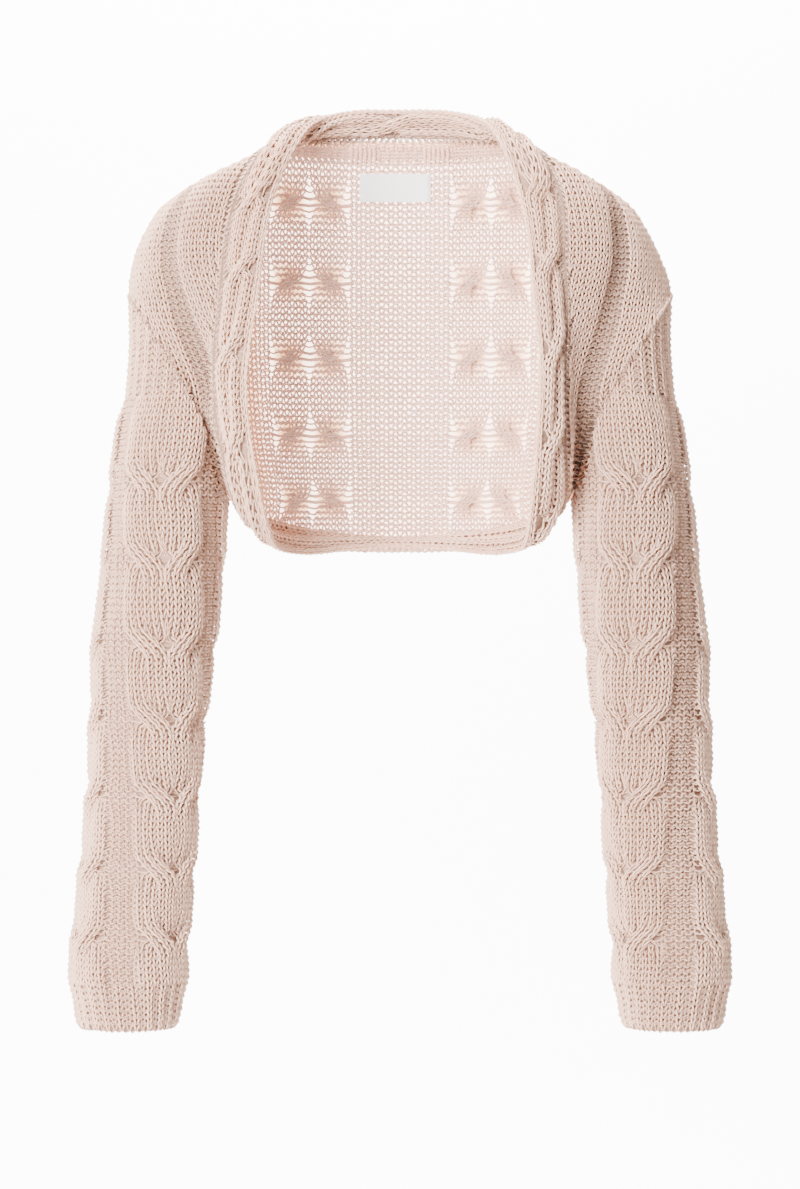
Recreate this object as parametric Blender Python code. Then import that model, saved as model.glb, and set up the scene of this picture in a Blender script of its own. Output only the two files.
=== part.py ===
"""Knitted shrug: a cropped open-front cardigan of chunky cable knit, in its worn hollow form.

The cloth is a set of separate walls: one back, two fronts, two drop-shoulder sleeves with
knit-on ribbed cuffs, one doubled band that runs round the neck, fronts and hem, and a bare
neck label. Horseshoe cables, the band's rope cable and the cuff ribs are raised in the outer
points over a plain inside. X is the wearer's left-right line, the front faces -Y, +Z is up,
and the origin lies between the shoulders, where the wearer holds the garment.
Tables are in millimetres; everything that reaches the meshes is turned into metres once.
"""

import math
from collections import namedtuple

import bmesh
import bpy
from mathutils import Vector

MM = 0.001

# Cloth
WALL = 3.0                  # thickness of one layer of the chunky knit
SEAM_GAP = 0.3              # two pieces at a seam
YARN_COLOUR = (0.80, 0.63, 0.57, 1.0)
LABEL_COLOUR = (0.78, 0.77, 0.74, 1.0)

# Sleeve mesh: columns round the tube and rows along it
SLEEVE_COLUMNS = 30
SLEEVE_ROWS = 42
SLEEVE_INNER_ROWS = 10

# Panel mesh: columns from the middle (back) or the band (front) to the side
BACK_HALF_COLUMNS = 18
BACK_INNER_STEP = 2
BACK_MIDDLE_PULL = 1.45     # how far the back runs straight before it rounds to the side
BACK_SIDE_PULL = 1.5
SHOULDER_ROWS = 10
SHOULDER_PULL = 70.0        # how far the cloth keeps its way on past an edge, in mm of curve
FRONT_ARMHOLE_PULL = (8.0, 70.0)     # at the armpit and at the notch
BACK_ARMHOLE_PULL = (20.0, 140.0)
SIDE_PULL = 30.0
NECK_DROP = 0.35            # how steeply the back's neck edge comes down to the front
NECK_CORNER_LEAN = 0.35     # how far the cloth faces forwards at the top of the shoulder seam
RIM_FADE = 0.06             # share of a panel's height where its relief sinks towards the band
NARROW_ROW = 9.0            # rows as short as this run straight, and ones as wide as this curve
WIDE_ROW = 32.0
SEAM_TURN = 0.72            # share of a row from which its normals turn into the side seam's own
NORMAL_SMOOTHING = 3
ROW_SMOOTHING = 4
FRONT_COLUMNS = 10
FRONT_INNER_STEP = 2

# Horseshoe cable: twelve knit wales between purl gutters, crossed every twelve rows. Each repeat
# swells and sinks again; the sizes below are shares of its height, its length or its half width.
BARREL_LOW = 0.52           # height where a repeat begins, and how much it swells
BARREL_SWELL = 0.48
BARREL_START = 0.12         # part of half a wave that a repeat takes
BARREL_SPAN = 0.80
NECK_DEPTH = 0.30           # where the strands draw together at a repeat's lower end
NECK_LENGTH = 0.16
UNDER_DEPTH = 0.26          # where the next repeat's shoulders come out from under them
UNDER_AT = 0.06
UNDER_LENGTH = 0.10
UNDER_ACROSS = 0.55
UNDER_WIDTH = 0.22
CABLE_RELIEF = 6.5
CABLE_FADE = 22.0           # length over which the sleeve's cables rise below the armhole seam
SLEEVE_CABLES = 3
SLEEVE_CABLE_HALF_ANGLE = 43.0
SLEEVE_CABLE_OFFSET = 5.0   # the front cable's middle, turned towards the outside at the top
SLEEVE_TWIST = -56.0        # degrees that the cables turn inwards between the next two heights
SLEEVE_TWIST_LIMIT = 1.2    # the turning goes on by this share below the lower height
TWIST_TOP = -261.0
TWIST_BOTTOM = -631.0
SLEEVE_CROSSINGS = (-199.0, -261.0, -325.0, -394.0, -455.0, -516.0, -576.0, -631.0, -690.0)
CUFF_TOP = -679.0
CUFF_EDGE = -709.0
RIB_RELIEF = 1.6
RIB_SINK = -0.2             # depth of a rib's groove as a share of the rib
CUFF_FADE = 30.0

BACK_CABLE_X = 77.0
BACK_CABLE_HALF_WIDTH = 34.0
BACK_CROSSINGS = (40.0, -25.0, -90.0, -154.0, -220.0, -275.0, -335.0)
BACK_RELIEF = 4.0
BACK_SIDE_FADE = 0.10       # share of the back's half width where its relief sinks to the side

# Fronts: a knit ridge beside the band, then a sunk purl gutter, by share of a front's width
FRONT_RELIEF = 2.2
RIDGE_AT = 0.24
RIDGE_WIDTH = 0.14
GUTTER_AT = 0.50
GUTTER_WIDTH = 0.09
GUTTER_DEPTH = 0.8
FRONT_EDGE_FADE = (0.10, 0.12)
FRONT_LOW_FADE = (-275.0, 60.0)

# Armhole: the drop-shoulder seam round the upper arm. Its height follows the angle round the
# sleeve, from the notch on the outside of the arm down to the armpit.
SEAM_MIDDLE = -193.5
SEAM_SWING = 81.0
SEAM_LIFT = 18.0
ARMPIT_EASE = 0.7           # more room where the seam turns through the armpit and the notch

# Band: a doubled strip with a rope cable on its outer face
BAND_GAP = 0.4
FOLD_SMOOTHING = 5          # times that the band's fold, and the way it faces, are evened out
FACE_SMOOTHING = 3
BAND_THICKNESS = 9.5
BAND_CABLE_RELIEF = 3.0
BAND_INNER_RELIEF = 0.5     # the inner face's rope as a share of the outer one's
BAND_CABLE_PITCH = 68.0
BAND_CABLE_SLANT = 9.0      # radians by which the rope's strands slant over the band's width
BAND_CABLE_LEAST = 0.35
BAND_CABLE_AT = 0.52
BAND_CABLE_WIDTH = 0.26
BAND_DROP = 0.55            # how far the band's middle lies behind its outer face, in half thicknesses
BAND_PROFILE = (            # share of the width, half thickness as a share of the full half
    (0.00, 0.30), (0.10, 0.54), (0.30, 0.95), (0.50, 1.00), (0.72, 1.00), (0.90, 0.74),
    (1.00, 0.00),
)

# Label
LABEL_WIDTH = 61.0
LABEL_HEIGHT = 23.0
LABEL_THICKNESS = 0.8
LABEL_X = -4.0
LABEL_TOP = -1.5
LABEL_GAP = 0.6

SleeveSection = namedtuple("SleeveSection", "z centre_x centre_y half_width half_depth")
SLEEVE_SECTIONS = (
    SleeveSection(-100, 177.0, 3, 47.5, 52),
    SleeveSection(-150, 178.0, 4, 45.0, 56),
    SleeveSection(-200, 182.0, 5, 45.0, 57),
    SleeveSection(-245, 187.0, 5, 45.5, 56),
    SleeveSection(-285, 191.5, 4, 45.5, 54),
    SleeveSection(-330, 194.5, 2, 45.5, 52),
    SleeveSection(-395, 200.4, -1, 46.5, 49),
    SleeveSection(-445, 203.5, -4, 44.5, 47),
    SleeveSection(-517, 207.5, -9, 43.8, 45),
    SleeveSection(-576, 212.5, -13, 43.4, 44),
    SleeveSection(-648, 220.0, -18, 43.4, 43.5),
    SleeveSection(-676, 221.0, -20, 44.6, 44.5),
    SleeveSection(-695, 221.5, -21, 44.4, 44),
    SleeveSection(-709, 221.8, -22, 40.5, 40.5),
)

SideLine = namedtuple("SideLine", "z x y")
SHOULDER_LINE = (           # the shoulder seam, from the neck out to the notch of the armhole
    SideLine(24, 93, 3),
    SideLine(12, 110, 1),
    SideLine(0, 128, 0),
    SideLine(-12, 155, 0),
    SideLine(-25, 175, 0),
    SideLine(-37, 191, 0),
    SideLine(-49, 199.5, 1),
    SideLine(-74, 212.5, 2),
    SideLine(-98, 222, 3),
    SideLine(-115, 224, 3),
)
SHOULDER_TOP = 8.0
RIGHT_FULLNESS = 6.0        # the wearer's right shoulder sits this much further out
BAND_TOP = 2.0              # height that the fronts' band edges are spaced from
SIDE_SEAM = (               # the short seam from the armpit down to the band
    SideLine(-274.5, 145.8, 4.2),
    SideLine(-281, 138.5, 3),
    SideLine(-288, 133.5, 0),
)

BackLine = namedtuple("BackLine", "z y")
BACK_LINE = (
    BackLine(24, 63), BackLine(0, 74), BackLine(-50, 89), BackLine(-100, 97),
    BackLine(-150, 101), BackLine(-200, 101), BackLine(-250, 99), BackLine(-312, 97),
)

BandEdge = namedtuple("BandEdge", "z seam_x seam_y free_x free_y free_z")
BAND_RIGHT = (
    BandEdge(8, 116.0, -5, 77.0, -2, 23),
    BandEdge(-4, 124.0, -19, 83.5, -14, 9),
    BandEdge(-20, 131.0, -30, 89.0, -25, -8),
    BandEdge(-48, 136.0, -42, 97.0, -40, -36),
    BandEdge(-78, 133.5, -52, 103.5, -57, -74),
    BandEdge(-121, 137.0, -58, 105.8, -70, -117),
    BandEdge(-165, 136.0, -60, 113.0, -77, -166),
    BandEdge(-202, 134.5, -60, 111.8, -79, -203),
    BandEdge(-241, 136.0, -55, 109.5, -77, -242),
    BandEdge(-262, 138.0, -42, 108.5, -66, -269),
    BandEdge(-276, 138.5, -24, 104.0, -43, -303),
    BandEdge(-288, 133.5, 0, 105.0, -12, -321),
)
BAND_LEFT = (
    BandEdge(8, 116.0, -5, 79.0, -2, 23),
    BandEdge(-4, 124.5, -19, 86.5, -14, 8),
    BandEdge(-20, 132.0, -30, 93.0, -25, -9),
    BandEdge(-48, 139.0, -42, 101.5, -40, -32),
    BandEdge(-78, 144.0, -50, 108.5, -57, -71),
    BandEdge(-121, 147.5, -56, 113.0, -70, -117),
    BandEdge(-165, 153.0, -57, 121.5, -77, -163),
    BandEdge(-202, 151.0, -57, 123.8, -79, -202),
    BandEdge(-241, 146.0, -53, 119.0, -77, -238),
    BandEdge(-262, 142.5, -42, 114.5, -66, -268),
    BandEdge(-276, 139.5, -24, 109.0, -43, -300),
    BandEdge(-288, 133.5, 0, 107.0, -12, -320),
)
FreeEdge = namedtuple("FreeEdge", "u x y z")
NECK_FREE = (               # the band's folded edge behind the neck, by share of the neck seam
    FreeEdge(0.0, 0, 60, 50), FreeEdge(0.35, 37, 58, 50), FreeEdge(0.7, 64, 38, 43),
    FreeEdge(1.0, 78, 2, 27),
)
HEM_FREE = (                # and under the back hem
    FreeEdge(0.0, 0, 75, -319), FreeEdge(0.35, 40, 70, -321.5), FreeEdge(0.7, 78, 47, -326.5),
    FreeEdge(1.0, 106, -4, -323),
)


def blend(a, b, share):
    return a + (b - a) * share


def smoothstep(value):
    value = min(max(value, 0.0), 1.0)
    return value * value * (3.0 - 2.0 * value)


def bell(distance, width):
    """1 at no distance, and smoothly down to nothing over a few widths."""
    return math.exp(-(distance / width) ** 2)


def read_table(table, key):
    """A row of the table at any key, by a smooth curve through its rows."""
    keys = [row[0] for row in table]
    if keys[0] > keys[-1]:
        keys = [-k for k in keys]
        key = -key
    key = min(max(key, keys[0]), keys[-1])
    i = next(n for n in range(len(keys) - 1) if key <= keys[n + 1])
    span = keys[i + 1] - keys[i]
    t = (key - keys[i]) / span

    def slope(n, column):
        before, after = max(n - 1, 0), min(n + 1, len(keys) - 1)
        return (table[after][column] - table[before][column]) / (keys[after] - keys[before])

    values = []
    for column in range(1, len(table[0])):
        start, end = table[i][column], table[i + 1][column]
        rise, fall = slope(i, column) * span, slope(i + 1, column) * span
        values.append(
            start * (1 + 2 * t) * (1 - t) ** 2 + rise * t * (1 - t) ** 2
            + end * t * t * (3 - 2 * t) - fall * t * t * (1 - t)
        )
    falling = table[0][0] > table[-1][0]
    return type(table[0])(-key if falling else key, *values)


def hermite(start, start_pull, end, end_pull, t):
    """A point of the cubic that leaves start along start_pull and arrives along end_pull."""
    return (
        start * ((1 + 2 * t) * (1 - t) ** 2) + start_pull * (t * (1 - t) ** 2)
        + end * (t * t * (3 - 2 * t)) - end_pull * (t * t * (1 - t))
    )


def horseshoe_relief(across, height, crossings):
    """Height of a horseshoe cable, 0 to about 1, across it (-1 to 1) and along it.

    Each repeat is a barrel. Its outer strands draw together over its lower end, and the next
    barrel's shoulders come out from under them.
    """
    if abs(across) >= 1.0:
        return 0.0
    i = next((n for n in range(len(crossings) - 1) if height >= crossings[n + 1]), None)
    if i is None:
        i = len(crossings) - 2
    down = (crossings[i] - height) / (crossings[i] - crossings[i + 1])
    down = min(max(down, 0.0), 1.0)
    barrel = math.sqrt(1.0 - across ** 4)
    wave = math.sin(math.pi * (BARREL_START + BARREL_SPAN * down))
    swell = BARREL_LOW + BARREL_SWELL * wave ** 1.2
    neck = NECK_DEPTH * bell(down - 1.0, NECK_LENGTH) * (1.0 - barrel * 0.5)
    under = UNDER_DEPTH * bell(down - UNDER_AT, UNDER_LENGTH)
    under *= bell(abs(across) - UNDER_ACROSS, UNDER_WIDTH)
    return max(barrel * swell - neck - under, 0.0)


# ---------------------------------------------------------------- sleeve and armhole seam

def seam_height(angle):
    """Height of the armhole seam where the sleeve's surface faces this angle, 0 = front."""
    facing = math.sin(angle)
    return SEAM_MIDDLE + SEAM_SWING * facing + SEAM_LIFT * math.cos(angle) ** 2 * (1.0 - facing)


def sleeve_point(side, angle, z, lift=0.0):
    """A point of the sleeve's outer surface; angle 0 faces the front, 90 degrees outwards."""
    section = read_table(SLEEVE_SECTIONS, z)
    out = section.half_width + lift
    deep = section.half_depth + lift
    x = section.centre_x + out * math.sin(angle)
    y = section.centre_y - deep * math.cos(angle)
    return Vector((side * x, y, z))


def sleeve_normal(side, angle):
    return Vector((side * math.sin(angle), -math.cos(angle), 0.0))


def armhole(side, angle):
    """Point of the armhole seam, the cloth's outward normal there, and the way to the sleeve."""
    point = sleeve_point(side, angle, seam_height(angle))
    step = math.radians(1.0)
    ahead = sleeve_point(side, angle + step, seam_height(angle + step))
    behind = sleeve_point(side, angle - step, seam_height(angle - step))
    along = (ahead - behind).normalized()
    drop = smoothstep((-math.sin(angle) - 0.5) / 0.5)
    normal = sleeve_normal(side, angle) * (1.0 - drop) + Vector((0.0, 0.0, -1.0)) * drop
    normal = (normal - along * normal.dot(along)).normalized()
    to_sleeve = along.cross(normal).normalized()
    if to_sleeve.dot(Vector((side, 0.0, -1.0))) < 0.0:
        to_sleeve.negate()
    return point, normal, to_sleeve


def sleeve_twist(z):
    share = (TWIST_TOP - z) / (TWIST_TOP - TWIST_BOTTOM)
    return math.radians(SLEEVE_TWIST) * min(max(share, 0.0), SLEEVE_TWIST_LIMIT)


def sleeve_relief(column, z, seam_z):
    """Cable and rib height on the sleeve, for a column's angle in degrees and a height."""
    pitch = 360.0 / SLEEVE_CABLES
    across = (column - SLEEVE_CABLE_OFFSET + pitch / 2.0) % pitch - pitch / 2.0
    cable = CABLE_RELIEF * horseshoe_relief(across / SLEEVE_CABLE_HALF_ANGLE, z, SLEEVE_CROSSINGS)
    cable *= smoothstep((seam_z - z) / CABLE_FADE)
    into_cuff = smoothstep((CUFF_TOP + CUFF_FADE / 2.0 - z) / CUFF_FADE)
    rib = RIB_RELIEF * (1 if round(column / (360.0 / SLEEVE_COLUMNS)) % 2 == 0 else RIB_SINK)
    return blend(cable, rib, into_cuff)


def sleeve_grid(side, rows, inside):
    """Rows of points down the sleeve, from the armhole seam to the cuff's edge."""
    grid = []
    for row in range(rows + 1):
        share = row / rows
        ring = []
        for n in range(SLEEVE_COLUMNS):
            column = 360.0 * n / SLEEVE_COLUMNS
            angle = math.radians(column)
            seam_z = seam_height(angle)
            if row == 0:
                point, normal, to_sleeve = armhole(side, angle)
                point = point + to_sleeve * (SEAM_GAP / 2.0)
                if inside:
                    point = point - normal * WALL
            else:
                z = blend(seam_z, CUFF_EDGE, share)
                lift = -WALL if inside else sleeve_relief(column, z, seam_z)
                point = sleeve_point(side, angle + sleeve_twist(z), z, lift)
            ring.append(point)
        grid.append(ring)
    return grid


# ---------------------------------------------------------------- the panels' edge rows

def edge_rows():
    """The rows that both panels share at the side: shoulder seam, armhole and side seam."""
    rows = []
    for n in range(SHOULDER_ROWS):
        z = blend(SHOULDER_TOP, seam_height(math.radians(90.0)), n / SHOULDER_ROWS)
        rows.append(("shoulder", z))
    step = 360 // SLEEVE_COLUMNS
    for degrees in range(90, -91, -step):
        rows.append(("armhole", float(degrees)))
    rows.append(("side", SIDE_SEAM[1].z))
    rows.append(("side", SIDE_SEAM[2].z))
    return rows


def side_edge(kind, value, side, facing):
    """Outer point, normal and inward-to-outward pull at the side of a panel's row.

    facing is -1 for the front and 1 for the back.
    """
    gap = SEAM_GAP / 2.0
    if kind == "armhole":
        angle = math.radians(value)
        gap += ARMPIT_EASE * abs(math.sin(angle)) ** 6
        around = angle if facing < 0 else math.pi - angle
        point, normal, to_sleeve = armhole(side, around)
        pull = Vector((side * math.cos(angle), -facing * math.sin(angle), 0.0))
        outside = smoothstep((math.sin(angle) + 1.0) / 1.9)
        least, most = FRONT_ARMHOLE_PULL if facing < 0 else BACK_ARMHOLE_PULL
        reach = blend(least, most, outside)
        edge = point - to_sleeve * gap
        if abs(value) == 90.0:
            edge.y += facing * gap
        return edge, normal, pull * reach
    table = SHOULDER_LINE if kind == "shoulder" else SIDE_SEAM
    line = read_table(table, value)
    point = Vector((side * line.x, line.y + facing * gap, line.z))
    if kind == "shoulder":
        share = (SHOULDER_TOP - value) / (SHOULDER_TOP - seam_height(math.radians(90.0)))
        if side < 0:
            point.x -= RIGHT_FULLNESS * smoothstep(share / 0.3) * smoothstep((1.0 - share) / 0.4)
        ahead, behind = read_table(table, value - 1.0), read_table(table, value + 1.0)
        slope = Vector((side * (ahead.x - behind.x), 0.0, ahead.z - behind.z)).normalized()
        lean = NECK_CORNER_LEAN * smoothstep((value + 20.0) / (SHOULDER_TOP + 20.0))
        normal = Vector((-side * slope.z, -lean, side * slope.x)).normalized()
        return point, normal, Vector((0.0, -facing * SHOULDER_PULL, 0.0))
    low = smoothstep((SIDE_SEAM[0].z - value) / 7.0)
    normal = Vector((side * low, 0.0, -1.0 + 0.8 * low)).normalized()
    return point, normal, Vector((0.0, -facing * SIDE_PULL * low, 0.0))


def narrowness(chord):
    """1 where a panel's row is so short that it runs straight, down to 0 on a wide one."""
    return 1.0 - smoothstep((chord.length - NARROW_ROW) / (WIDE_ROW - NARROW_ROW))


def surface_normals(grid):
    """Unit normals of a grid of points from its neighbours, not yet turned outwards."""
    normals = []
    last_row, last = len(grid) - 1, len(grid[0]) - 1
    for r, row in enumerate(grid):
        line = []
        for c in range(len(row)):
            across = row[min(c + 1, last)] - row[max(c - 1, 0)]
            along = grid[min(r + 1, last_row)][c] - grid[max(r - 1, 0)][c]
            line.append(across.cross(along).normalized())
        normals.append(line)
    return normals


def panel_normals(grid, edge_normals, outward):
    """Outward unit normals of a panel, which turn into the seam's own at its side edge."""
    normals = surface_normals(grid)
    for points, line in zip(grid, normals):
        for point, normal in zip(points, line):
            if normal.dot(outward(point)) < 0.0:
                normal.negate()
    for _ in range(NORMAL_SMOOTHING):
        normals = smooth_down(normals)
    last = len(grid[0]) - 1
    for points, line, edge in zip(grid, normals, edge_normals):
        narrow = narrowness(points[-1] - points[0])
        for c, normal in enumerate(line):
            near = max(smoothstep((c / last - SEAM_TURN) / (1.0 - SEAM_TURN)), narrow)
            line[c] = (normal * (1.0 - near) + edge * near).normalized()
    return normals


def settle(grid):
    """The grid with its rows evened out between its edges, as hanging cloth evens them."""
    last = len(grid[0]) - 1
    for _ in range(ROW_SMOOTHING):
        middle = [[(grid[r - 1][c] + grid[r][c] * 2.0 + grid[r + 1][c]) / 4.0
                   if c < last else grid[r][c] for c in range(last + 1)]
                  for r in range(1, len(grid) - 1)]
        grid = [grid[0]] + middle + [grid[-1]]
    return grid


def smooth_down(normals):
    """Each normal averaged with the ones above and below it."""
    last = len(normals) - 1
    return [[(normals[max(r - 1, 0)][c] + line[c] * 2.0 + normals[min(r + 1, last)][c]).normalized()
             for c in range(len(line))] for r, line in enumerate(normals)]


# ---------------------------------------------------------------- fronts

def band_table(side):
    return BAND_RIGHT if side > 0 else BAND_LEFT


def front_rows(side):
    rows = edge_rows()
    lowest = rows[-1][1]
    grid, normals = [], []
    for n, (kind, value) in enumerate(rows):
        point, normal, pull = side_edge(kind, value, side, -1)
        even = blend(BAND_TOP, lowest, n / (len(rows) - 1))
        band_z = blend(even, point.z, 0.5)
        if n == len(rows) - 1:
            band_z = lowest + 1.2
        band = read_table(band_table(side), band_z)
        start = Vector((side * band.seam_x, band.seam_y, band_z))
        if n >= len(rows) - 2:
            start.y = min(start.y, point.y - 6.0)
        narrow = narrowness(point - start)
        pull = shorten(pull, (point - start).length * 1.15) * (1.0 - narrow)
        pull += (point - start) * narrow
        grid.append((start, start_pull_front(side, start, point, band_z), point, pull))
        normals.append(normal)
    return grid, normals


def shorten(vector, longest):
    return vector.normalized() * min(vector.length, longest) if vector.length > 0.0 else vector


def start_pull_front(side, start, end, z):
    """How the front leaves the band: outwards at the shoulder, into the fold lower down."""
    fold = smoothstep((-60.0 - z) / 120.0)
    direction = Vector((side * blend(1.0, 0.45, fold), blend(-0.25, 0.9, fold), 0.0)).normalized()
    chord = end - start
    narrow = narrowness(chord)
    direction = (direction * (1.0 - narrow) + chord.normalized() * narrow).normalized()
    return direction * chord.length * blend(1.1, 0.8, fold)


def front_relief(share, z):
    """A knit ridge and a sunk purl gutter, which run up the front."""
    ridge = bell(share - RIDGE_AT, RIDGE_WIDTH) - GUTTER_DEPTH * bell(share - GUTTER_AT, GUTTER_WIDTH)
    inner, outer = FRONT_EDGE_FADE
    edge = smoothstep(share / inner) * smoothstep((1.0 - share) / outer)
    low, length = FRONT_LOW_FADE
    return FRONT_RELIEF * ridge * edge * smoothstep((z - low) / length)


def build_grid(curves, edge_normals, columns, outward, relief):
    """The plain surface through a panel's row curves, with its outer and inner points."""
    base = []
    for start, start_pull, end, end_pull in curves:
        base.append([hermite(start, start_pull, end, end_pull, c / columns)
                     for c in range(columns + 1)])
    base = settle(base)
    normals = panel_normals(base, edge_normals, outward)
    outer, inner = [], []
    for r, (points, directions) in enumerate(zip(base, normals)):
        down = r / (len(base) - 1)
        fade = smoothstep(down / RIM_FADE) * smoothstep((1.0 - down) / RIM_FADE)
        outer.append([p + d * relief(c / columns, p) * fade
                      for c, (p, d) in enumerate(zip(points, directions))])
        inner.append([p - d * WALL for p, d in zip(points, directions)])
    return base, outer, inner


def front_grid(side):
    curves, edge_normals = front_rows(side)

    def outward(point):
        return Vector((0.25 * side, -1.0, 0.15))

    def relief(share, point):
        return front_relief(share, point.z)

    return build_grid(curves, edge_normals, FRONT_COLUMNS, outward, relief)


# ---------------------------------------------------------------- back

def back_curves(side):
    rows = edge_rows()
    curves, normals = [], []
    top, bottom = BACK_LINE[0].z, BACK_LINE[-1].z
    for n, (kind, value) in enumerate(rows):
        point, normal, pull = side_edge(kind, value, side, 1)
        centre_z = blend(top, bottom, n / (len(rows) - 1))
        centre = Vector((0.0, read_table(BACK_LINE, centre_z).y, centre_z))
        start_pull = Vector((point.x * BACK_MIDDLE_PULL, 0.0, 0.0))
        if kind != "armhole":
            drop = NECK_DROP * max(1.0 - n / 4.0, 0.0)
            pull = Vector((0.0, -1.0, -drop)) * (centre.y - point.y) * BACK_SIDE_PULL
        curves.append((centre, start_pull, point, pull))
        normals.append(normal)
    return curves, normals


def back_relief(share, point):
    across = (abs(point.x) - BACK_CABLE_X) / BACK_CABLE_HALF_WIDTH
    edge = smoothstep((1.0 - share) / BACK_SIDE_FADE)
    return BACK_RELIEF * horseshoe_relief(across, point.z, BACK_CROSSINGS) * edge


def back_grid():
    """Both halves of the back as one grid, from the wearer's right to the left."""
    halves = []
    for side in (-1, 1):
        curves, normals = back_curves(side)

        def outward(point):
            return Vector((0.25 * point.x / 150.0, 1.0, 0.15))

        halves.append(build_grid(curves, normals, BACK_HALF_COLUMNS, outward, back_relief))
    joined = []
    for left, right in zip(halves[0], halves[1]):
        joined.append([list(reversed(a))[:-1] + b for a, b in zip(left, right)])
    return joined


# ---------------------------------------------------------------- band

def seam_points(fronts, back):
    """The panels' edge points round the opening, each with a neighbour inside its panel."""
    back_base, _, back_inner = back
    half = BACK_HALF_COLUMNS
    points = []

    def free_at(table, share, side):
        edge = read_table(table, share)
        return Vector((side * edge.x, edge.y, edge.z))

    def back_run(row, next_row, table, columns):
        edge = back_inner[row]
        for column in columns:
            offset = column - half
            side = -1 if offset < 0 else 1
            between = column % BACK_INNER_STEP
            inner = edge[column]
            if between:
                inner = edge[column - 1].lerp(edge[column + 1], 0.5)
            points.append((back_base[row][column], inner, back_base[next_row][column],
                           free_at(table, abs(offset) / half, side), bool(between)))

    def front_run(side, rows):
        base, _, inner = fronts[side]
        for row in rows:
            edge = read_table(band_table(side), base[row][0].z)
            free = Vector((side * edge.free_x, edge.free_y, edge.free_z))
            points.append((base[row][0], inner[row][0], base[row][1], free, False))

    last = len(back_base) - 1
    front_count = len(fronts[1][0])
    back_run(0, 1, NECK_FREE, range(half, 2 * half + 1))
    front_run(1, range(0, front_count))
    back_run(last, last - 1, HEM_FREE, range(2 * half, -1, -1))
    front_run(-1, range(front_count - 1, -1, -1))
    back_run(0, 1, NECK_FREE, range(0, half))
    return points


def band_stations(fronts, back):
    """The band's seam face and folded edge at each edge point, just clear of the panels."""
    points = seam_points(fronts, back)
    stations = []
    for n, (outer, inner, neighbour, free, between) in enumerate(points):
        along = points[(n + 1) % len(points)][0] - points[n - 1][0]
        away = along.cross(outer - inner).normalized()
        if away.dot(outer - neighbour) < 0.0:
            away.negate()
        stations.append((outer + away * BAND_GAP, inner + away * BAND_GAP, free, between))
    return stations


def smooth_loop(vectors, passes):
    """Vectors round a closed loop, each averaged with its neighbours several times."""
    for _ in range(passes):
        count = len(vectors)
        vectors = [(vectors[n - 1] + vectors[n] * 2.0 + vectors[(n + 1) % count]) / 4.0
                   for n in range(count)]
    return vectors


def band_faces(stations, folds):
    """The way that the band's outer face looks at each station, without sudden turns."""
    count = len(stations)
    faces = []
    for n, (outer, inner, _, _) in enumerate(stations):
        ahead, behind = (n + 1) % count, n - 1
        along = folds[ahead] + stations[ahead][0] - folds[behind] - stations[behind][0]
        face = (folds[n] - (outer + inner) / 2.0).cross(along).normalized()
        if face.dot(outer - inner) < 0.0:
            face.negate()
        faces.append(face)
    return [face.normalized() for face in smooth_loop(faces, FACE_SMOOTHING)]


def band_ring(outer, inner, free, face, travelled):
    """One closed section of the band, from the seam over the outer face, fold and inner face."""
    seam_face = (outer - inner).normalized()
    half = BAND_THICKNESS / 2.0
    middle = (outer + inner) / 2.0
    width = free - middle
    upper, lower = [], []
    for share, thick in BAND_PROFILE[1:-1]:
        turn = smoothstep(share / 0.3)
        direction = (seam_face * (1.0 - turn) + face * turn).normalized()
        spine = middle + width * share - face * half * BAND_DROP * smoothstep(share / 0.35)
        rope = rope_relief(share, travelled)
        upper.append(spine + direction * (half * thick + rope))
        lower.append(spine - direction * (half * thick + rope * BAND_INNER_RELIEF))
    tip = middle + width - face * half * BAND_DROP
    return [outer] + upper + [tip] + list(reversed(lower)) + [inner]


def rope_relief(share, travelled):
    """A six-wale rope: two strands that pass over each other along the middle of the band."""
    phase = 2.0 * math.pi * travelled / BAND_CABLE_PITCH
    strand = 0.5 + 0.5 * math.sin(phase + (share - 0.5) * BAND_CABLE_SLANT)
    across = bell(share - BAND_CABLE_AT, BAND_CABLE_WIDTH) * smoothstep((share - 0.10) / 0.2)
    return BAND_CABLE_RELIEF * blend(BAND_CABLE_LEAST, 1.0, strand) * across


def band_rings(stations):
    folds = smooth_loop([station[2] for station in stations], FOLD_SMOOTHING)
    faces = band_faces(stations, folds)
    rings, travelled = [], 0.0
    for n, (outer, inner, _, _) in enumerate(stations):
        rings.append(band_ring(outer, inner, folds[n], faces[n], travelled))
        after = (n + 1) % len(stations)
        travelled += (folds[after] + stations[after][0] - folds[n] - outer).length / 2.0
    return rings


# ---------------------------------------------------------------- meshes

def add_points(mesh, grid):
    return [[mesh.verts.new(point * MM) for point in row] for row in grid]


def fill_grid(mesh, points, wrap=False):
    columns = len(points[0]) if wrap else len(points[0]) - 1
    for upper, lower in zip(points, points[1:]):
        for c in range(columns):
            after = (c + 1) % len(upper)
            mesh.faces.new((upper[c], upper[after], lower[after], lower[c]))


def zip_edges(mesh, fine, coarse):
    """A strip of triangles between two edges that have the same ends but unlike counts."""
    f, c = 0, 0
    fine_last, coarse_last = len(fine) - 1, len(coarse) - 1
    while f < fine_last or c < coarse_last:
        fine_next = (f + 0.5) / fine_last if f < fine_last else 2.0
        coarse_next = (c + 0.5) / coarse_last if c < coarse_last else 2.0
        if fine_next <= coarse_next:
            mesh.faces.new((fine[f], fine[f + 1], coarse[c]))
            f += 1
        else:
            mesh.faces.new((fine[f], coarse[c + 1], coarse[c]))
            c += 1


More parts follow.
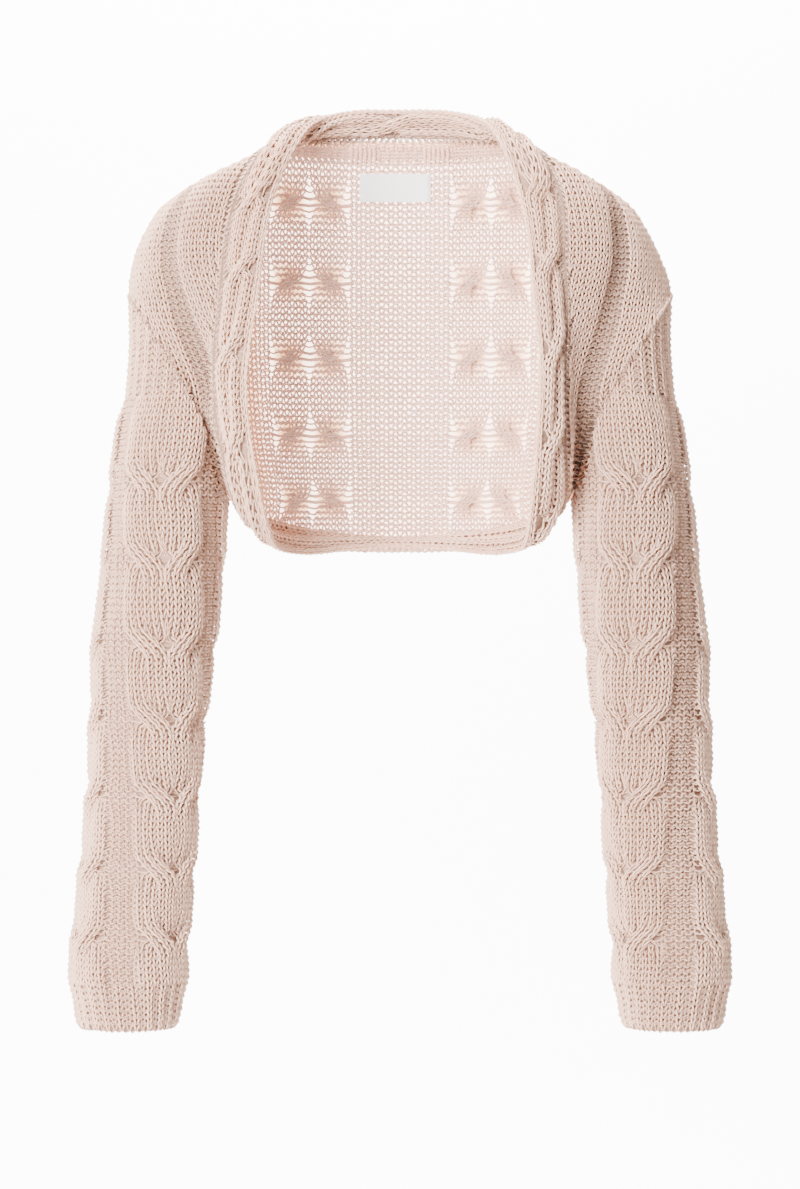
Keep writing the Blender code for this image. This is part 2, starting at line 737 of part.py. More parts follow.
def finish_object(name, mesh, material, collection):
    bmesh.ops.recalc_face_normals(mesh, faces=mesh.faces)
    bmesh.ops.triangulate(mesh, faces=mesh.faces)
    data = bpy.data.meshes.new(name)
    mesh.to_mesh(data)
    mesh.free()
    data.materials.append(material)
    data.shade_smooth()
    piece = bpy.data.objects.new(name, data)
    collection.objects.link(piece)
    return piece


def tube_wall(name, outer, inner, material, collection):
    """A closed wall round a bore, with a plain rim at each end."""
    mesh = bmesh.new()
    outside, inside = add_points(mesh, outer), add_points(mesh, inner)
    fill_grid(mesh, outside, wrap=True)
    fill_grid(mesh, inside, wrap=True)
    for end in (0, -1):
        zip_edges(mesh, outside[end] + outside[end][:1], inside[end] + inside[end][:1])
    return finish_object(name, mesh, material, collection)


def panel_wall(name, outer, inner, material, collection):
    """A closed wall with four plain edges."""
    mesh = bmesh.new()
    outside, inside = add_points(mesh, outer), add_points(mesh, inner)
    fill_grid(mesh, outside)
    fill_grid(mesh, inside)
    for end in (0, -1):
        zip_edges(mesh, outside[end], inside[end])
        zip_edges(mesh, [row[end] for row in outside], [row[end] for row in inside])
    return finish_object(name, mesh, material, collection)


def thin_out(grid, row_step, column_step):
    """Every few points of a grid, always with its last row and column."""
    rows = sorted(set(range(0, len(grid), row_step)) | {len(grid) - 1})
    columns = sorted(set(range(0, len(grid[0]), column_step)) | {len(grid[0]) - 1})
    return [[grid[r][c] for c in columns] for r in rows]


def make_material(name, colour, roughness):
    material = bpy.data.materials.new(name)
    material.use_nodes = True
    shader = material.node_tree.nodes["Principled BSDF"]
    shader.inputs["Base Color"].default_value = colour
    shader.inputs["Roughness"].default_value = roughness
    shader.inputs["Metallic"].default_value = 0.0
    return material


def build_sleeve(side, material, collection):
    outer = sleeve_grid(side, SLEEVE_ROWS, inside=False)
    inner = sleeve_grid(side, SLEEVE_INNER_ROWS, inside=True)
    name = "sleeve_left" if side > 0 else "sleeve_right"
    return tube_wall(name, outer, inner, material, collection)


def build_band(fronts, back, material, collection):
    """The closed strip; its seam face is split into the same triangles as the panels' rims."""
    stations = band_stations(fronts, back)
    mesh = bmesh.new()
    rings = add_points(mesh, band_rings(stations))
    for n, ring in enumerate(rings):
        after = rings[(n + 1) % len(rings)]
        for c in range(len(ring) - 1):
            mesh.faces.new((ring[c], ring[c + 1], after[c + 1], after[c]))
        seam = ((ring[-1], ring[0], after[-1]), (ring[0], after[0], after[-1]))
        if not stations[n][3]:
            seam = ((ring[-1], ring[0], after[0]), (ring[-1], after[0], after[-1]))
        for corners in seam:
            mesh.faces.new(corners)
    return finish_object("band", mesh, material, collection)


def on_grid(grid, x, z):
    """The point of a panel's grid that lies at this x and z."""
    crossings = []
    for row in grid:
        c = next((n for n in range(len(row) - 1) if row[n].x <= x <= row[n + 1].x), None)
        if c is not None:
            share = (x - row[c].x) / (row[c + 1].x - row[c].x)
            crossings.append(row[c].lerp(row[c + 1], share))
    r = next(n for n in range(len(crossings) - 1) if crossings[n].z >= z >= crossings[n + 1].z)
    share = (crossings[r].z - z) / (crossings[r].z - crossings[r + 1].z)
    return crossings[r].lerp(crossings[r + 1], share)


def build_label(inner, material, collection):
    """A thin plate that follows the inner face of the back, a little off it."""
    columns, rows = 6, 2
    front, rear = [], []
    for r in range(rows + 1):
        z = LABEL_TOP - LABEL_HEIGHT * r / rows
        line = [on_grid(inner, LABEL_X + LABEL_WIDTH * (c / columns - 0.5), z)
                for c in range(columns + 1)]
        rear.append([point - Vector((0.0, LABEL_GAP, 0.0)) for point in line])
        front.append([point - Vector((0.0, LABEL_THICKNESS, 0.0)) for point in rear[-1]])
    return panel_wall("label", front, rear, material, collection)


def main():
    for old in list(bpy.data.objects):
        bpy.data.objects.remove(old)
    collection = bpy.data.collections.new("knitted_shrug")
    bpy.context.scene.collection.children.link(collection)
    knit = make_material("blush_knit", YARN_COLOUR, 0.95)
    tape = make_material("label_tape", LABEL_COLOUR, 0.8)

    fronts = {side: front_grid(side) for side in (-1, 1)}
    back = back_grid()
    for side, name in ((-1, "front_right"), (1, "front_left")):
        _, outer, inner = fronts[side]
        inner = thin_out(inner, 1, FRONT_INNER_STEP)
        if side < 0:        # mirrored row order, so that its rim splits like the band's seam face
            outer, inner = outer[::-1], inner[::-1]
        panel_wall(name, outer, inner, knit, collection)
    _, outer, inner = back
    back_inner = thin_out(inner, 1, BACK_INNER_STEP)
    panel_wall("back", outer, back_inner, knit, collection)

    build_band(fronts, back, knit, collection)
    for side in (-1, 1):
        build_sleeve(side, knit, collection)
    build_label(back_inner, tape, collection)


main()
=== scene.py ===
"""Knitted shrug: a chunky cable-knit shrug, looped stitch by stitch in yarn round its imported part.

Every course of every piece is one strand of yarn that runs through its loops, so the cloth has
its real holes, purl gutters and crossed cables on both sides. The forms are the solids' own, from
the same sizes in millimetres; everything that reaches a mesh is turned into metres once.
"""

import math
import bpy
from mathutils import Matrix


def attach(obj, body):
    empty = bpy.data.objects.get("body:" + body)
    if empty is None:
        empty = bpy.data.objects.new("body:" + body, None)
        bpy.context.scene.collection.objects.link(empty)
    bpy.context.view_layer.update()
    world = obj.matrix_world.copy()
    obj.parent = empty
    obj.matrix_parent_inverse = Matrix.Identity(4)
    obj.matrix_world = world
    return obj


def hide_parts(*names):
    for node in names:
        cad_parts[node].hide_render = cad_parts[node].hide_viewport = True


bl_info = {
    "name": "Knitted shrug",
    "version": (1, 0, 0),
    "blender": (4, 5, 0),
    "location": "3D View > Sidebar > Shrug",
    "description": "Knits a cable shrug in yarn round its packed part and lights it for a picture",
    "category": "Add Mesh",
}

from collections import namedtuple

import bmesh
import bpy
import numpy as np
from mathutils import Vector

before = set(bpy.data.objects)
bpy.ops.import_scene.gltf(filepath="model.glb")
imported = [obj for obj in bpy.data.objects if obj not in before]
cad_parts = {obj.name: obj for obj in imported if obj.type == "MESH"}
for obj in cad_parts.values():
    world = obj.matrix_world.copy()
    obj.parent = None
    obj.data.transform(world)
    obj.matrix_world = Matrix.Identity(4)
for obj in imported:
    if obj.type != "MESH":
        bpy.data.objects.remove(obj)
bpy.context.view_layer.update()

MM = 0.001
TINY = 1e-9
BODY = "root"

# ------------------------------------------------------------------ the solids' sizes

WALL = 3.0                  # thickness of one layer of the chunky knit
SEAM_GAP = 0.3

BACK_MIDDLE_PULL = 1.45     # how far the back runs straight before it rounds to the side
BACK_SIDE_PULL = 1.5
SHOULDER_ROWS = 10
SHOULDER_PULL = 70.0
FRONT_ARMHOLE_PULL = (8.0, 70.0)
BACK_ARMHOLE_PULL = (20.0, 140.0)
SIDE_PULL = 30.0
NECK_DROP = 0.35
NECK_CORNER_LEAN = 0.35
NARROW_ROW = 9.0
WIDE_ROW = 32.0
NORMAL_SMOOTHING = 3
ROW_SMOOTHING = 4
SEAM_STEP = 12              # degrees between the points of the armhole seam
NECK_CORNER_DOWN = 20.0
NECK_ROWS = 4.0
EDGE_FROM = 0.72            # share of a panel's row where its normals turn to the seam's
EDGE_SPAN = 0.28
FULLNESS_RISE = 0.3         # shares of the shoulder over which its fullness comes and goes
FULLNESS_FALL = 0.4
SIDE_SEAM_FADE = 7.0
SIDE_SEAM_LEAN = 0.8
LONGEST_PULL = 1.15         # of the way from the band to the side
FRONT_POINT_RISE = 1.2
FRONT_POINT_DEPTH = 6.0
FOLD_FROM = -60.0           # height where the fronts start to leave the band into its fold
FOLD_SPAN = 120.0
LEAVES_OUT = (1.0, 0.45)    # how a front leaves the band, above and below that
LEAVES_BACK = (-0.25, 0.9)
LEAVES_PULL = (1.1, 0.8)
OUT_LEAN = 0.25             # the panels' rough outward way, for the sign of their normals
OUT_RISE = 0.15
BACK_REFERENCE = 150.0

CABLE_RELIEF = 6.5
BARREL_LOW = 0.52           # the horseshoe's barrel, and how it swells down a repeat
BARREL_SWELL = 0.48
BARREL_FROM = 0.12
BARREL_SPAN = 0.80
BARREL_POWER = 1.2
NECK_DEPTH = 0.30           # its waist at the crossing
NECK_HEIGHT = 0.16
UNDER_DEPTH = 0.26          # the dips where strands come from under it
UNDER_DOWN = 0.06
UNDER_HEIGHT = 0.10
UNDER_ACROSS = 0.55
UNDER_WIDTH = 0.22
SLEEVE_CABLES = 3
SLEEVE_CABLE_HALF_ANGLE = 43.0
SLEEVE_CABLE_OFFSET = 5.0
SLEEVE_TWIST = -56.0
SLEEVE_TWIST_LIMIT = 1.2
TWIST_TOP = -261.0
TWIST_BOTTOM = -631.0
SLEEVE_CROSSINGS = (-199.0, -261.0, -325.0, -394.0, -455.0, -516.0, -576.0, -631.0)
CUFF_EDGE = -709.0

BACK_CABLE_X = 77.0
BACK_CABLE_HALF_WIDTH = 34.0
BACK_CROSSINGS = (40.0, -25.0, -90.0, -154.0, -220.0, -275.0, -335.0)
BACK_RELIEF = 4.0
FRONT_RELIEF = 2.2

SEAM_MIDDLE = -193.5
SEAM_SWING = 81.0
SEAM_LIFT = 18.0
ARMPIT_EASE = 0.7
ARMPIT_POWER = 6
ARMPIT_FROM = 0.5
ARMHOLE_FULL = 1.9

BAND_GAP = 0.4
FOLD_SMOOTHING = 5
FACE_SMOOTHING = 3
BAND_THICKNESS = 9.5
BAND_FACE_TURN = 0.3        # share of its width by which it faces its own way
BAND_SINK = 0.55            # of half its thickness, reached at the second share
BAND_SINK_SPAN = 0.35
BAND_PROFILE = (
    (0.00, 0.30), (0.10, 0.54), (0.30, 0.95), (0.50, 1.00), (0.72, 1.00), (0.90, 0.74),
    (1.00, 0.00),
)


def table_of(kind, rows):
    return tuple(kind(*row) for row in rows)


SleeveSection = namedtuple("SleeveSection", "z centre_x centre_y half_width half_depth")
SLEEVE_SECTIONS = table_of(SleeveSection, (
    (-100, 177.0, 3, 47.5, 52), (-150, 178.0, 4, 45.0, 56), (-200, 182.0, 5, 45.0, 57),
    (-245, 187.0, 5, 45.5, 56), (-285, 191.5, 4, 45.5, 54), (-330, 194.5, 2, 45.5, 52),
    (-395, 200.4, -1, 46.5, 49), (-445, 203.5, -4, 44.5, 47), (-517, 207.5, -9, 43.8, 45),
    (-576, 212.5, -13, 43.4, 44), (-648, 220.0, -18, 43.4, 43.5), (-676, 221.0, -20, 44.6, 44.5),
    (-695, 221.5, -21, 44.4, 44), (-709, 221.8, -22, 40.5, 40.5),
))

SideLine = namedtuple("SideLine", "z x y")
SHOULDER_LINE = table_of(SideLine, (
    (24, 93, 3), (12, 110, 1), (0, 128, 0), (-12, 155, 0), (-25, 175, 0), (-37, 191, 0),
    (-49, 199.5, 1), (-74, 212.5, 2), (-98, 222, 3), (-115, 224, 3),
))
SHOULDER_TOP = 8.0
RIGHT_FULLNESS = 6.0
BAND_TOP = 2.0
SIDE_SEAM = table_of(SideLine, (
    (-274.5, 145.8, 4.2), (-281, 138.5, 3), (-288, 133.5, 0),
))

BackLine = namedtuple("BackLine", "z y")
BACK_LINE = table_of(BackLine, (
    (24, 63), (0, 74), (-50, 89), (-100, 97), (-150, 101), (-200, 101), (-250, 99), (-312, 97),
))

BandEdge = namedtuple("BandEdge", "z seam_x seam_y free_x free_y free_z")
BAND_RIGHT = table_of(BandEdge, (
    (8, 116.0, -5, 77.0, -2, 23), (-4, 124.0, -19, 83.5, -14, 9), (-20, 131.0, -30, 89.0, -25, -8),
    (-48, 136.0, -42, 97.0, -40, -36), (-78, 133.5, -52, 103.5, -57, -74),
    (-121, 137.0, -58, 105.8, -70, -117), (-165, 136.0, -60, 113.0, -77, -166),
    (-202, 134.5, -60, 111.8, -79, -203), (-241, 136.0, -55, 109.5, -77, -242),
    (-262, 138.0, -42, 108.5, -66, -269), (-276, 138.5, -24, 104.0, -43, -303),
    (-288, 133.5, 0, 105.0, -12, -321),
))
BAND_LEFT = table_of(BandEdge, (
    (8, 116.0, -5, 79.0, -2, 23), (-4, 124.5, -19, 86.5, -14, 8), (-20, 132.0, -30, 93.0, -25, -9),
    (-48, 139.0, -42, 101.5, -40, -32), (-78, 144.0, -50, 108.5, -57, -71),
    (-121, 147.5, -56, 113.0, -70, -117), (-165, 153.0, -57, 121.5, -77, -163),
    (-202, 151.0, -57, 123.8, -79, -202), (-241, 146.0, -53, 119.0, -77, -238),
    (-262, 142.5, -42, 114.5, -66, -268), (-276, 139.5, -24, 109.0, -43, -300),
    (-288, 133.5, 0, 107.0, -12, -320),
))
FreeEdge = namedtuple("FreeEdge", "u x y z")
NECK_FREE = table_of(FreeEdge, (
    (0.0, 0, 60, 50), (0.35, 37, 58, 50), (0.7, 64, 38, 43), (1.0, 78, 2, 27),
))
HEM_FREE = table_of(FreeEdge, (
    (0.0, 0, 75, -319), (0.35, 40, 70, -321.5), (0.7, 78, 47, -326.5), (1.0, 106, -4, -323),
))

# ------------------------------------------------------------------ the knit's sizes

ROW = 5.3                   # height of a course in plain knit
LOOP_POINTS = 8             # points of the strand in each stitch
LOOP_LEAN = 0.29            # how far the legs of a loop lean, in wales
LOOP_REACH = 0.84           # how far a loop reaches past its course's middle, in rows
OPEN_REACH = 0.80           # the same in the back, whose holes are larger
CABLE_REPEAT = 12           # rows from one crossing to the next
STRAND = 6                  # wales in a crossing, three over three

SLEEVE_GUTTER_WALES = 4
SLEEVE_WALES = SLEEVE_CABLES * (2 * STRAND + SLEEVE_GUTTER_WALES)
BACK_MIDDLE_WALES = 2       # knit wales each side of the middle one
BACK_GUTTER_WALES = 3
BACK_PLAIN_WALE = 7.5
FRONT_WALE = 5.7
FRONT_CHART = (1, 7, 3)     # purl, knit and purl wales from the band outwards, then knit
BAND_WALES = 17

# ------------------------------------------------------------------ small helpers


def blend(a, b, share):
    return a + (b - a) * share


def smoothstep(value):
    value = min(max(value, 0.0), 1.0)
    return value * value * (3.0 - 2.0 * value)


def ease(values):
    """smoothstep over an array."""
    values = np.clip(values, 0.0, 1.0)
    return values * values * (3.0 - 2.0 * values)


def unit(vectors):
    return vectors / np.maximum(np.linalg.norm(vectors, axis=-1, keepdims=True), TINY)


def line_lengths(points):
    """How far along their line each of these points lies."""
    return np.concatenate([[0.0], np.cumsum(np.linalg.norm(np.diff(points, axis=0), axis=1))])


def read_line(at, length, values):
    """Rows of three values at these lengths along a line."""
    return np.stack([np.interp(at, length, values[:, n]) for n in range(3)], axis=1)


def read_table(table, key):
    """A row of the table at any key, by a smooth curve through its rows."""
    keys = [row[0] for row in table]
    if keys[0] > keys[-1]:
        keys = [-k for k in keys]
        key = -key
    key = min(max(key, keys[0]), keys[-1])
    i = next(n for n in range(len(keys) - 1) if key <= keys[n + 1])
    span = keys[i + 1] - keys[i]
    t = (key - keys[i]) / span

    def slope(n, column):
        before, after = max(n - 1, 0), min(n + 1, len(keys) - 1)
        return (table[after][column] - table[before][column]) / (keys[after] - keys[before])

    values = []
    for column in range(1, len(table[0])):
        start, end = table[i][column], table[i + 1][column]
        rise, fall = slope(i, column) * span, slope(i + 1, column) * span
        values.append(
            start * (1 + 2 * t) * (1 - t) ** 2 + rise * t * (1 - t) ** 2
            + end * t * t * (3 - 2 * t) - fall * t * t * (1 - t)
        )
    falling = table[0][0] > table[-1][0]
    return type(table[0])(-key if falling else key, *values)


def hermite(start, start_pull, end, end_pull, t):
    """A point of the cubic that leaves start along start_pull and arrives along end_pull."""
    return (
        start * ((1 + 2 * t) * (1 - t) ** 2) + start_pull * (t * (1 - t) ** 2)
        + end * (t * t * (3 - 2 * t)) - end_pull * (t * t * (1 - t))
    )


def refine(rows, steps, closed=False):
    """Rows of values with smooth rows between them; a closed set joins its last row to its first."""
    count = len(rows)
    last = count if closed else count - 1
    at = np.arange(last * steps + (0 if closed else 1)) / steps
    i = np.minimum(at.astype(int), count - 1 if closed else count - 2)
    t = (at - i).reshape((-1,) + (1,) * (rows.ndim - 1))

    def row(index):
        return rows[index % count] if closed else rows[np.clip(index, 0, count - 1)]

    before, start, end, after = row(i - 1), row(i), row(i + 1), row(i + 2)
    return 0.5 * (
        2 * start + (end - before) * t + (2 * before - 5 * start + 4 * end - after) * t ** 2
        + (3 * start - before - 3 * end + after) * t ** 3
    )


def horseshoe_relief(across, down):
    """Height of a horseshoe cable, 0 to about 1, across it (-1 to 1) and down one repeat (0 to 1)."""
    barrel = np.sqrt(np.clip(1.0 - across ** 4, 0.0, 1.0))
    rise = np.sin(np.pi * (BARREL_FROM + BARREL_SPAN * down))
    swell = BARREL_LOW + BARREL_SWELL * rise ** BARREL_POWER
    neck = NECK_DEPTH * np.exp(-((down - 1.0) / NECK_HEIGHT) ** 2) * (1.0 - barrel * 0.5)
    under = (UNDER_DEPTH * np.exp(-((down - UNDER_DOWN) / UNDER_HEIGHT) ** 2)
             * np.exp(-((np.abs(across) - UNDER_ACROSS) / UNDER_WIDTH) ** 2))
    return np.maximum(barrel * swell - neck - under, 0.0)


# ------------------------------------------------------------------ sleeve and armhole seam


def seam_height(angle):
    """Height of the armhole seam where the sleeve's surface faces this angle, 0 = front."""
    facing = math.sin(angle)
    return SEAM_MIDDLE + SEAM_SWING * facing + SEAM_LIFT * math.cos(angle) ** 2 * (1.0 - facing)


def sleeve_point(side, angle, z):
    """A point of the sleeve's outer surface; angle 0 faces the front, 90 degrees outwards."""
    section = read_table(SLEEVE_SECTIONS, z)
    x = section.centre_x + section.half_width * math.sin(angle)
    y = section.centre_y - section.half_depth * math.cos(angle)
    return Vector((side * x, y, z))


def sleeve_normal(side, angle):
    return Vector((side * math.sin(angle), -math.cos(angle), 0.0))


def armhole(side, angle):
    """Point of the armhole seam, the cloth's outward normal there, and the way to the sleeve."""
    point = sleeve_point(side, angle, seam_height(angle))
    step = math.radians(1.0)
    ahead = sleeve_point(side, angle + step, seam_height(angle + step))
    behind = sleeve_point(side, angle - step, seam_height(angle - step))
    along = (ahead - behind).normalized()
    drop = smoothstep((-math.sin(angle) - ARMPIT_FROM) / (1.0 - ARMPIT_FROM))
    normal = sleeve_normal(side, angle) * (1.0 - drop) + Vector((0.0, 0.0, -1.0)) * drop
    normal = (normal - along * normal.dot(along)).normalized()
    to_sleeve = along.cross(normal).normalized()
    if to_sleeve.dot(Vector((side, 0.0, -1.0))) < 0.0:
        to_sleeve.negate()
    return point, normal, to_sleeve


# ------------------------------------------------------------------ the panels' plain surfaces


def edge_rows():
    """The rows that both panels share at the side: shoulder seam, armhole and side seam."""
    rows = []
    for n in range(SHOULDER_ROWS):
        z = blend(SHOULDER_TOP, seam_height(math.radians(90.0)), n / SHOULDER_ROWS)
        rows.append(("shoulder", z))
    for degrees in range(90, -91, -SEAM_STEP):
        rows.append(("armhole", float(degrees)))
    return rows + [("side", line.z) for line in SIDE_SEAM[1:]]


def side_edge(kind, value, side, facing):
    """Outer point, normal and inward-to-outward pull at the side of a panel's row."""
    gap = SEAM_GAP / 2.0
    if kind == "armhole":
        angle = math.radians(value)
        gap += ARMPIT_EASE * abs(math.sin(angle)) ** ARMPIT_POWER
        around = angle if facing < 0 else math.pi - angle
        point, normal, to_sleeve = armhole(side, around)
        pull = Vector((side * math.cos(angle), -facing * math.sin(angle), 0.0))
        outside = smoothstep((math.sin(angle) + 1.0) / ARMHOLE_FULL)
        least, most = FRONT_ARMHOLE_PULL if facing < 0 else BACK_ARMHOLE_PULL
        edge = point - to_sleeve * gap
        if abs(value) == 90.0:
            edge.y += facing * gap
        return edge, normal, pull * blend(least, most, outside)
    table = SHOULDER_LINE if kind == "shoulder" else SIDE_SEAM
    line = read_table(table, value)
    point = Vector((side * line.x, line.y + facing * gap, line.z))
    if kind == "shoulder":
        share = (SHOULDER_TOP - value) / (SHOULDER_TOP - seam_height(math.radians(90.0)))
        if side < 0:
            fullness = smoothstep(share / FULLNESS_RISE) * smoothstep((1.0 - share) / FULLNESS_FALL)
            point.x -= RIGHT_FULLNESS * fullness
        ahead, behind = read_table(table, value - 1.0), read_table(table, value + 1.0)
        slope = Vector((side * (ahead.x - behind.x), 0.0, ahead.z - behind.z)).normalized()
        corner = smoothstep((value + NECK_CORNER_DOWN) / (SHOULDER_TOP + NECK_CORNER_DOWN))
        lean = NECK_CORNER_LEAN * corner
        normal = Vector((-side * slope.z, -lean, side * slope.x)).normalized()
        return point, normal, Vector((0.0, -facing * SHOULDER_PULL, 0.0))
    low = smoothstep((SIDE_SEAM[0].z - value) / SIDE_SEAM_FADE)
    normal = Vector((side * low, 0.0, -1.0 + SIDE_SEAM_LEAN * low)).normalized()
    return point, normal, Vector((0.0, -facing * SIDE_PULL * low, 0.0))


def narrowness(chord):
    """1 where a panel's row is so short that it runs straight, down to 0 on a wide one."""
    return 1.0 - smoothstep((chord.length - NARROW_ROW) / (WIDE_ROW - NARROW_ROW))


def surface_normals(grid):
    """Unit normals of a grid of points from its neighbours, not yet turned outwards."""
    normals = []
    last_row, last = len(grid) - 1, len(grid[0]) - 1
    for r, row in enumerate(grid):
        line = []
        for c in range(len(row)):
            across = row[min(c + 1, last)] - row[max(c - 1, 0)]
            along = grid[min(r + 1, last_row)][c] - grid[max(r - 1, 0)][c]
            line.append(across.cross(along).normalized())
        normals.append(line)
    return normals


def smooth_down(normals):
    """Each normal averaged with the ones above and below it."""
    last = len(normals) - 1
    return [[(normals[max(r - 1, 0)][c] + line[c] * 2.0 + normals[min(r + 1, last)][c]).normalized()
             for c in range(len(line))] for r, line in enumerate(normals)]


def panel_normals(grid, edge_normals, outward):
    """Outward unit normals of a panel, which turn into the seam's own at its side edge."""
    normals = surface_normals(grid)
    for points, line in zip(grid, normals):
        for point, normal in zip(points, line):
            if normal.dot(outward(point)) < 0.0:
                normal.negate()
    for _ in range(NORMAL_SMOOTHING):
        normals = smooth_down(normals)
    last = len(grid[0]) - 1
    for points, line, edge in zip(grid, normals, edge_normals):
        narrow = narrowness(points[-1] - points[0])
        for c, normal in enumerate(line):
            near = max(smoothstep((c / last - EDGE_FROM) / EDGE_SPAN), narrow)
            line[c] = (normal * (1.0 - near) + edge * near).normalized()
    return normals


def settle(grid):
    """The grid with its rows evened out between its edges, as hanging cloth evens them."""
    last = len(grid[0]) - 1
    for _ in range(ROW_SMOOTHING):
        middle = [[(grid[r - 1][c] + grid[r][c] * 2.0 + grid[r + 1][c]) / 4.0
                   if c < last else grid[r][c] for c in range(last + 1)]
                  for r in range(1, len(grid) - 1)]
        grid = [grid[0]] + middle + [grid[-1]]
    return grid


def shorten(vector, longest):
    return vector.normalized() * min(vector.length, longest) if vector.length > 0.0 else vector


def band_table(side):
    return BAND_RIGHT if side > 0 else BAND_LEFT


def start_pull_front(side, start, end, z):
    """How the front leaves the band: outwards at the shoulder, into the fold lower down."""
    fold = smoothstep((FOLD_FROM - z) / FOLD_SPAN)
    direction = Vector((side * blend(*LEAVES_OUT, fold), blend(*LEAVES_BACK, fold), 0.0)).normalized()
    chord = end - start
    narrow = narrowness(chord)
    direction = (direction * (1.0 - narrow) + chord.normalized() * narrow).normalized()
    return direction * chord.length * blend(*LEAVES_PULL, fold)


def front_curves(side):
    rows = edge_rows()
    lowest = rows[-1][1]
    curves, normals = [], []
    for n, (kind, value) in enumerate(rows):
        point, normal, pull = side_edge(kind, value, side, -1)
        even = blend(BAND_TOP, lowest, n / (len(rows) - 1))
        band_z = blend(even, point.z, 0.5)
        if n == len(rows) - 1:
            band_z = lowest + FRONT_POINT_RISE
        band = read_table(band_table(side), band_z)
        start = Vector((side * band.seam_x, band.seam_y, band_z))
        if n >= len(rows) - 2:
            start.y = min(start.y, point.y - FRONT_POINT_DEPTH)
        narrow = narrowness(point - start)
        pull = shorten(pull, (point - start).length * LONGEST_PULL) * (1.0 - narrow)
        pull += (point - start) * narrow
        curves.append((start, start_pull_front(side, start, point, band_z), point, pull))
        normals.append(normal)
    return curves, normals


def back_curves(side):
    rows = edge_rows()
    curves, normals = [], []
    top, bottom = BACK_LINE[0].z, BACK_LINE[-1].z
    for n, (kind, value) in enumerate(rows):
        point, normal, pull = side_edge(kind, value, side, 1)
        centre_z = blend(top, bottom, n / (len(rows) - 1))
        centre = Vector((0.0, read_table(BACK_LINE, centre_z).y, centre_z))
        start_pull = Vector((point.x * BACK_MIDDLE_PULL, 0.0, 0.0))
        if kind != "armhole":
            drop = NECK_DROP * max(1.0 - n / NECK_ROWS, 0.0)
            pull = Vector((0.0, -1.0, -drop)) * (centre.y - point.y) * BACK_SIDE_PULL
        curves.append((centre, start_pull, point, pull))
        normals.append(normal)
    return curves, normals


def panel_surface(curves, edge_normals, columns, outward):
    """A panel's plain surface: rows of outer points and of outward normals."""
    base = settle([[hermite(*curve, c / columns) for c in range(columns + 1)] for curve in curves])
    return base, panel_normals(base, edge_normals, outward)


def front_surface(side, columns):
    way = Vector((OUT_LEAN * side, -1.0, OUT_RISE))
    return panel_surface(*front_curves(side), columns, lambda _: way)


def back_half(side, columns):
    def outward(point):
        return Vector((OUT_LEAN * point.x / BACK_REFERENCE, 1.0, OUT_RISE))

    return panel_surface(*back_curves(side), columns, outward)


def as_array(grid):
    return np.array([[tuple(point) for point in row] for row in grid])


# ------------------------------------------------------------------ surfaces by wale and row

LATTICE_STEP = 0.5          # wales and rows between the kept points of a surface
LATTICE_ROOM = 0.001        # keeps the next point inside it
FINE_STEPS = 4              # finer rows and columns of a panel between its own
EDGE_DROP = 0.5             # millimetres that a course keeps from a panel's top and bottom


def steps_between(first, last):
    return np.arange(round((last - first) / LATTICE_STEP) + 1) * LATTICE_STEP + first


class Surface:
    """Outer points and normals of a piece's plain form, over wales across and rows down."""

    def __init__(self, points, normals, places, rows, starts, ends):
        self.points = points
        self.normals = unit(normals)
        self.places = places
        self.rows = rows
        self.starts = starts
        self.ends = ends

    def at(self, place, row):
        """Points and normals in millimetres; both inputs are arrays of one shape."""
        c, r = (np.clip((at - marks[0]) / LATTICE_STEP, 0.0, len(marks) - 1.0 - LATTICE_ROOM)
                for at, marks in ((place, self.places), (row, self.rows)))
        column, line = c.astype(int), r.astype(int)
        across, down = (c - column)[..., None], (r - line)[..., None]

        def mix(grid):
            upper = grid[line, column] * (1.0 - across) + grid[line, column + 1] * across
            lower = grid[line + 1, column] * (1.0 - across) + grid[line + 1, column + 1] * across
            return upper * (1.0 - down) + lower * down

        return mix(self.points), unit(mix(self.normals))

    def limits(self, row):
        """The first and the last place that the piece reaches at these rows."""
        return np.interp(row, self.rows, self.starts), np.interp(row, self.rows, self.ends)


def cut_courses(points, normals, heights, arcs, places, shifts=None):
    """A panel's surface cut along level courses: points and normals by wale, and where they lie.

    Shifts are lengths that each course is cut off its first wales. The last two results are the
    first and the last place that each course reaches.
    """
    falls = np.maximum.accumulate(-points[:, :, 2], axis=0)
    top, bottom = -falls[0], -falls[-1]
    index = np.arange(len(points))
    lines, faces, starts, ends = [], [], [], []
    for number, height in enumerate(heights):
        shift = 0.0 if shifts is None else shifts[number]
        height = np.clip(height, bottom[0] + EDGE_DROP, top[0] - EDGE_DROP)
        inside = (height <= top) & (height >= bottom)
        count = len(inside) if inside.all() else max(int(np.argmin(inside)), 2)
        at = np.array([np.interp(-height, falls[:, c], index) for c in range(count)])
        row = np.minimum(at.astype(int), len(points) - 2)
        share = (at - row)[:, None]
        column = np.arange(count)
        line = points[row, column] * (1.0 - share) + points[row + 1, column] * share
        face = normals[row, column] * (1.0 - share) + normals[row + 1, column] * share
        if count < len(inside):
            rim = top if height > top[count] else bottom
            share = np.clip((height - rim[count - 1]) / (rim[count] - rim[count - 1]), 0.0, 1.0)
            edge = points[0 if rim is top else -1, count - 1:count + 1]
            line = np.vstack([line, blend(edge[0], edge[1], share)])
            face = np.vstack([face, face[-1:]])
        length = line_lengths(line)
        at = arcs - shift
        lines.append(read_line(at, length, line))
        faces.append(read_line(at, length, face))
        starts.append(np.interp(0.0, at, places))
        ends.append(np.interp(length[-1], at, places))
    return np.array(lines), np.array(faces), np.array(starts), np.array(ends)


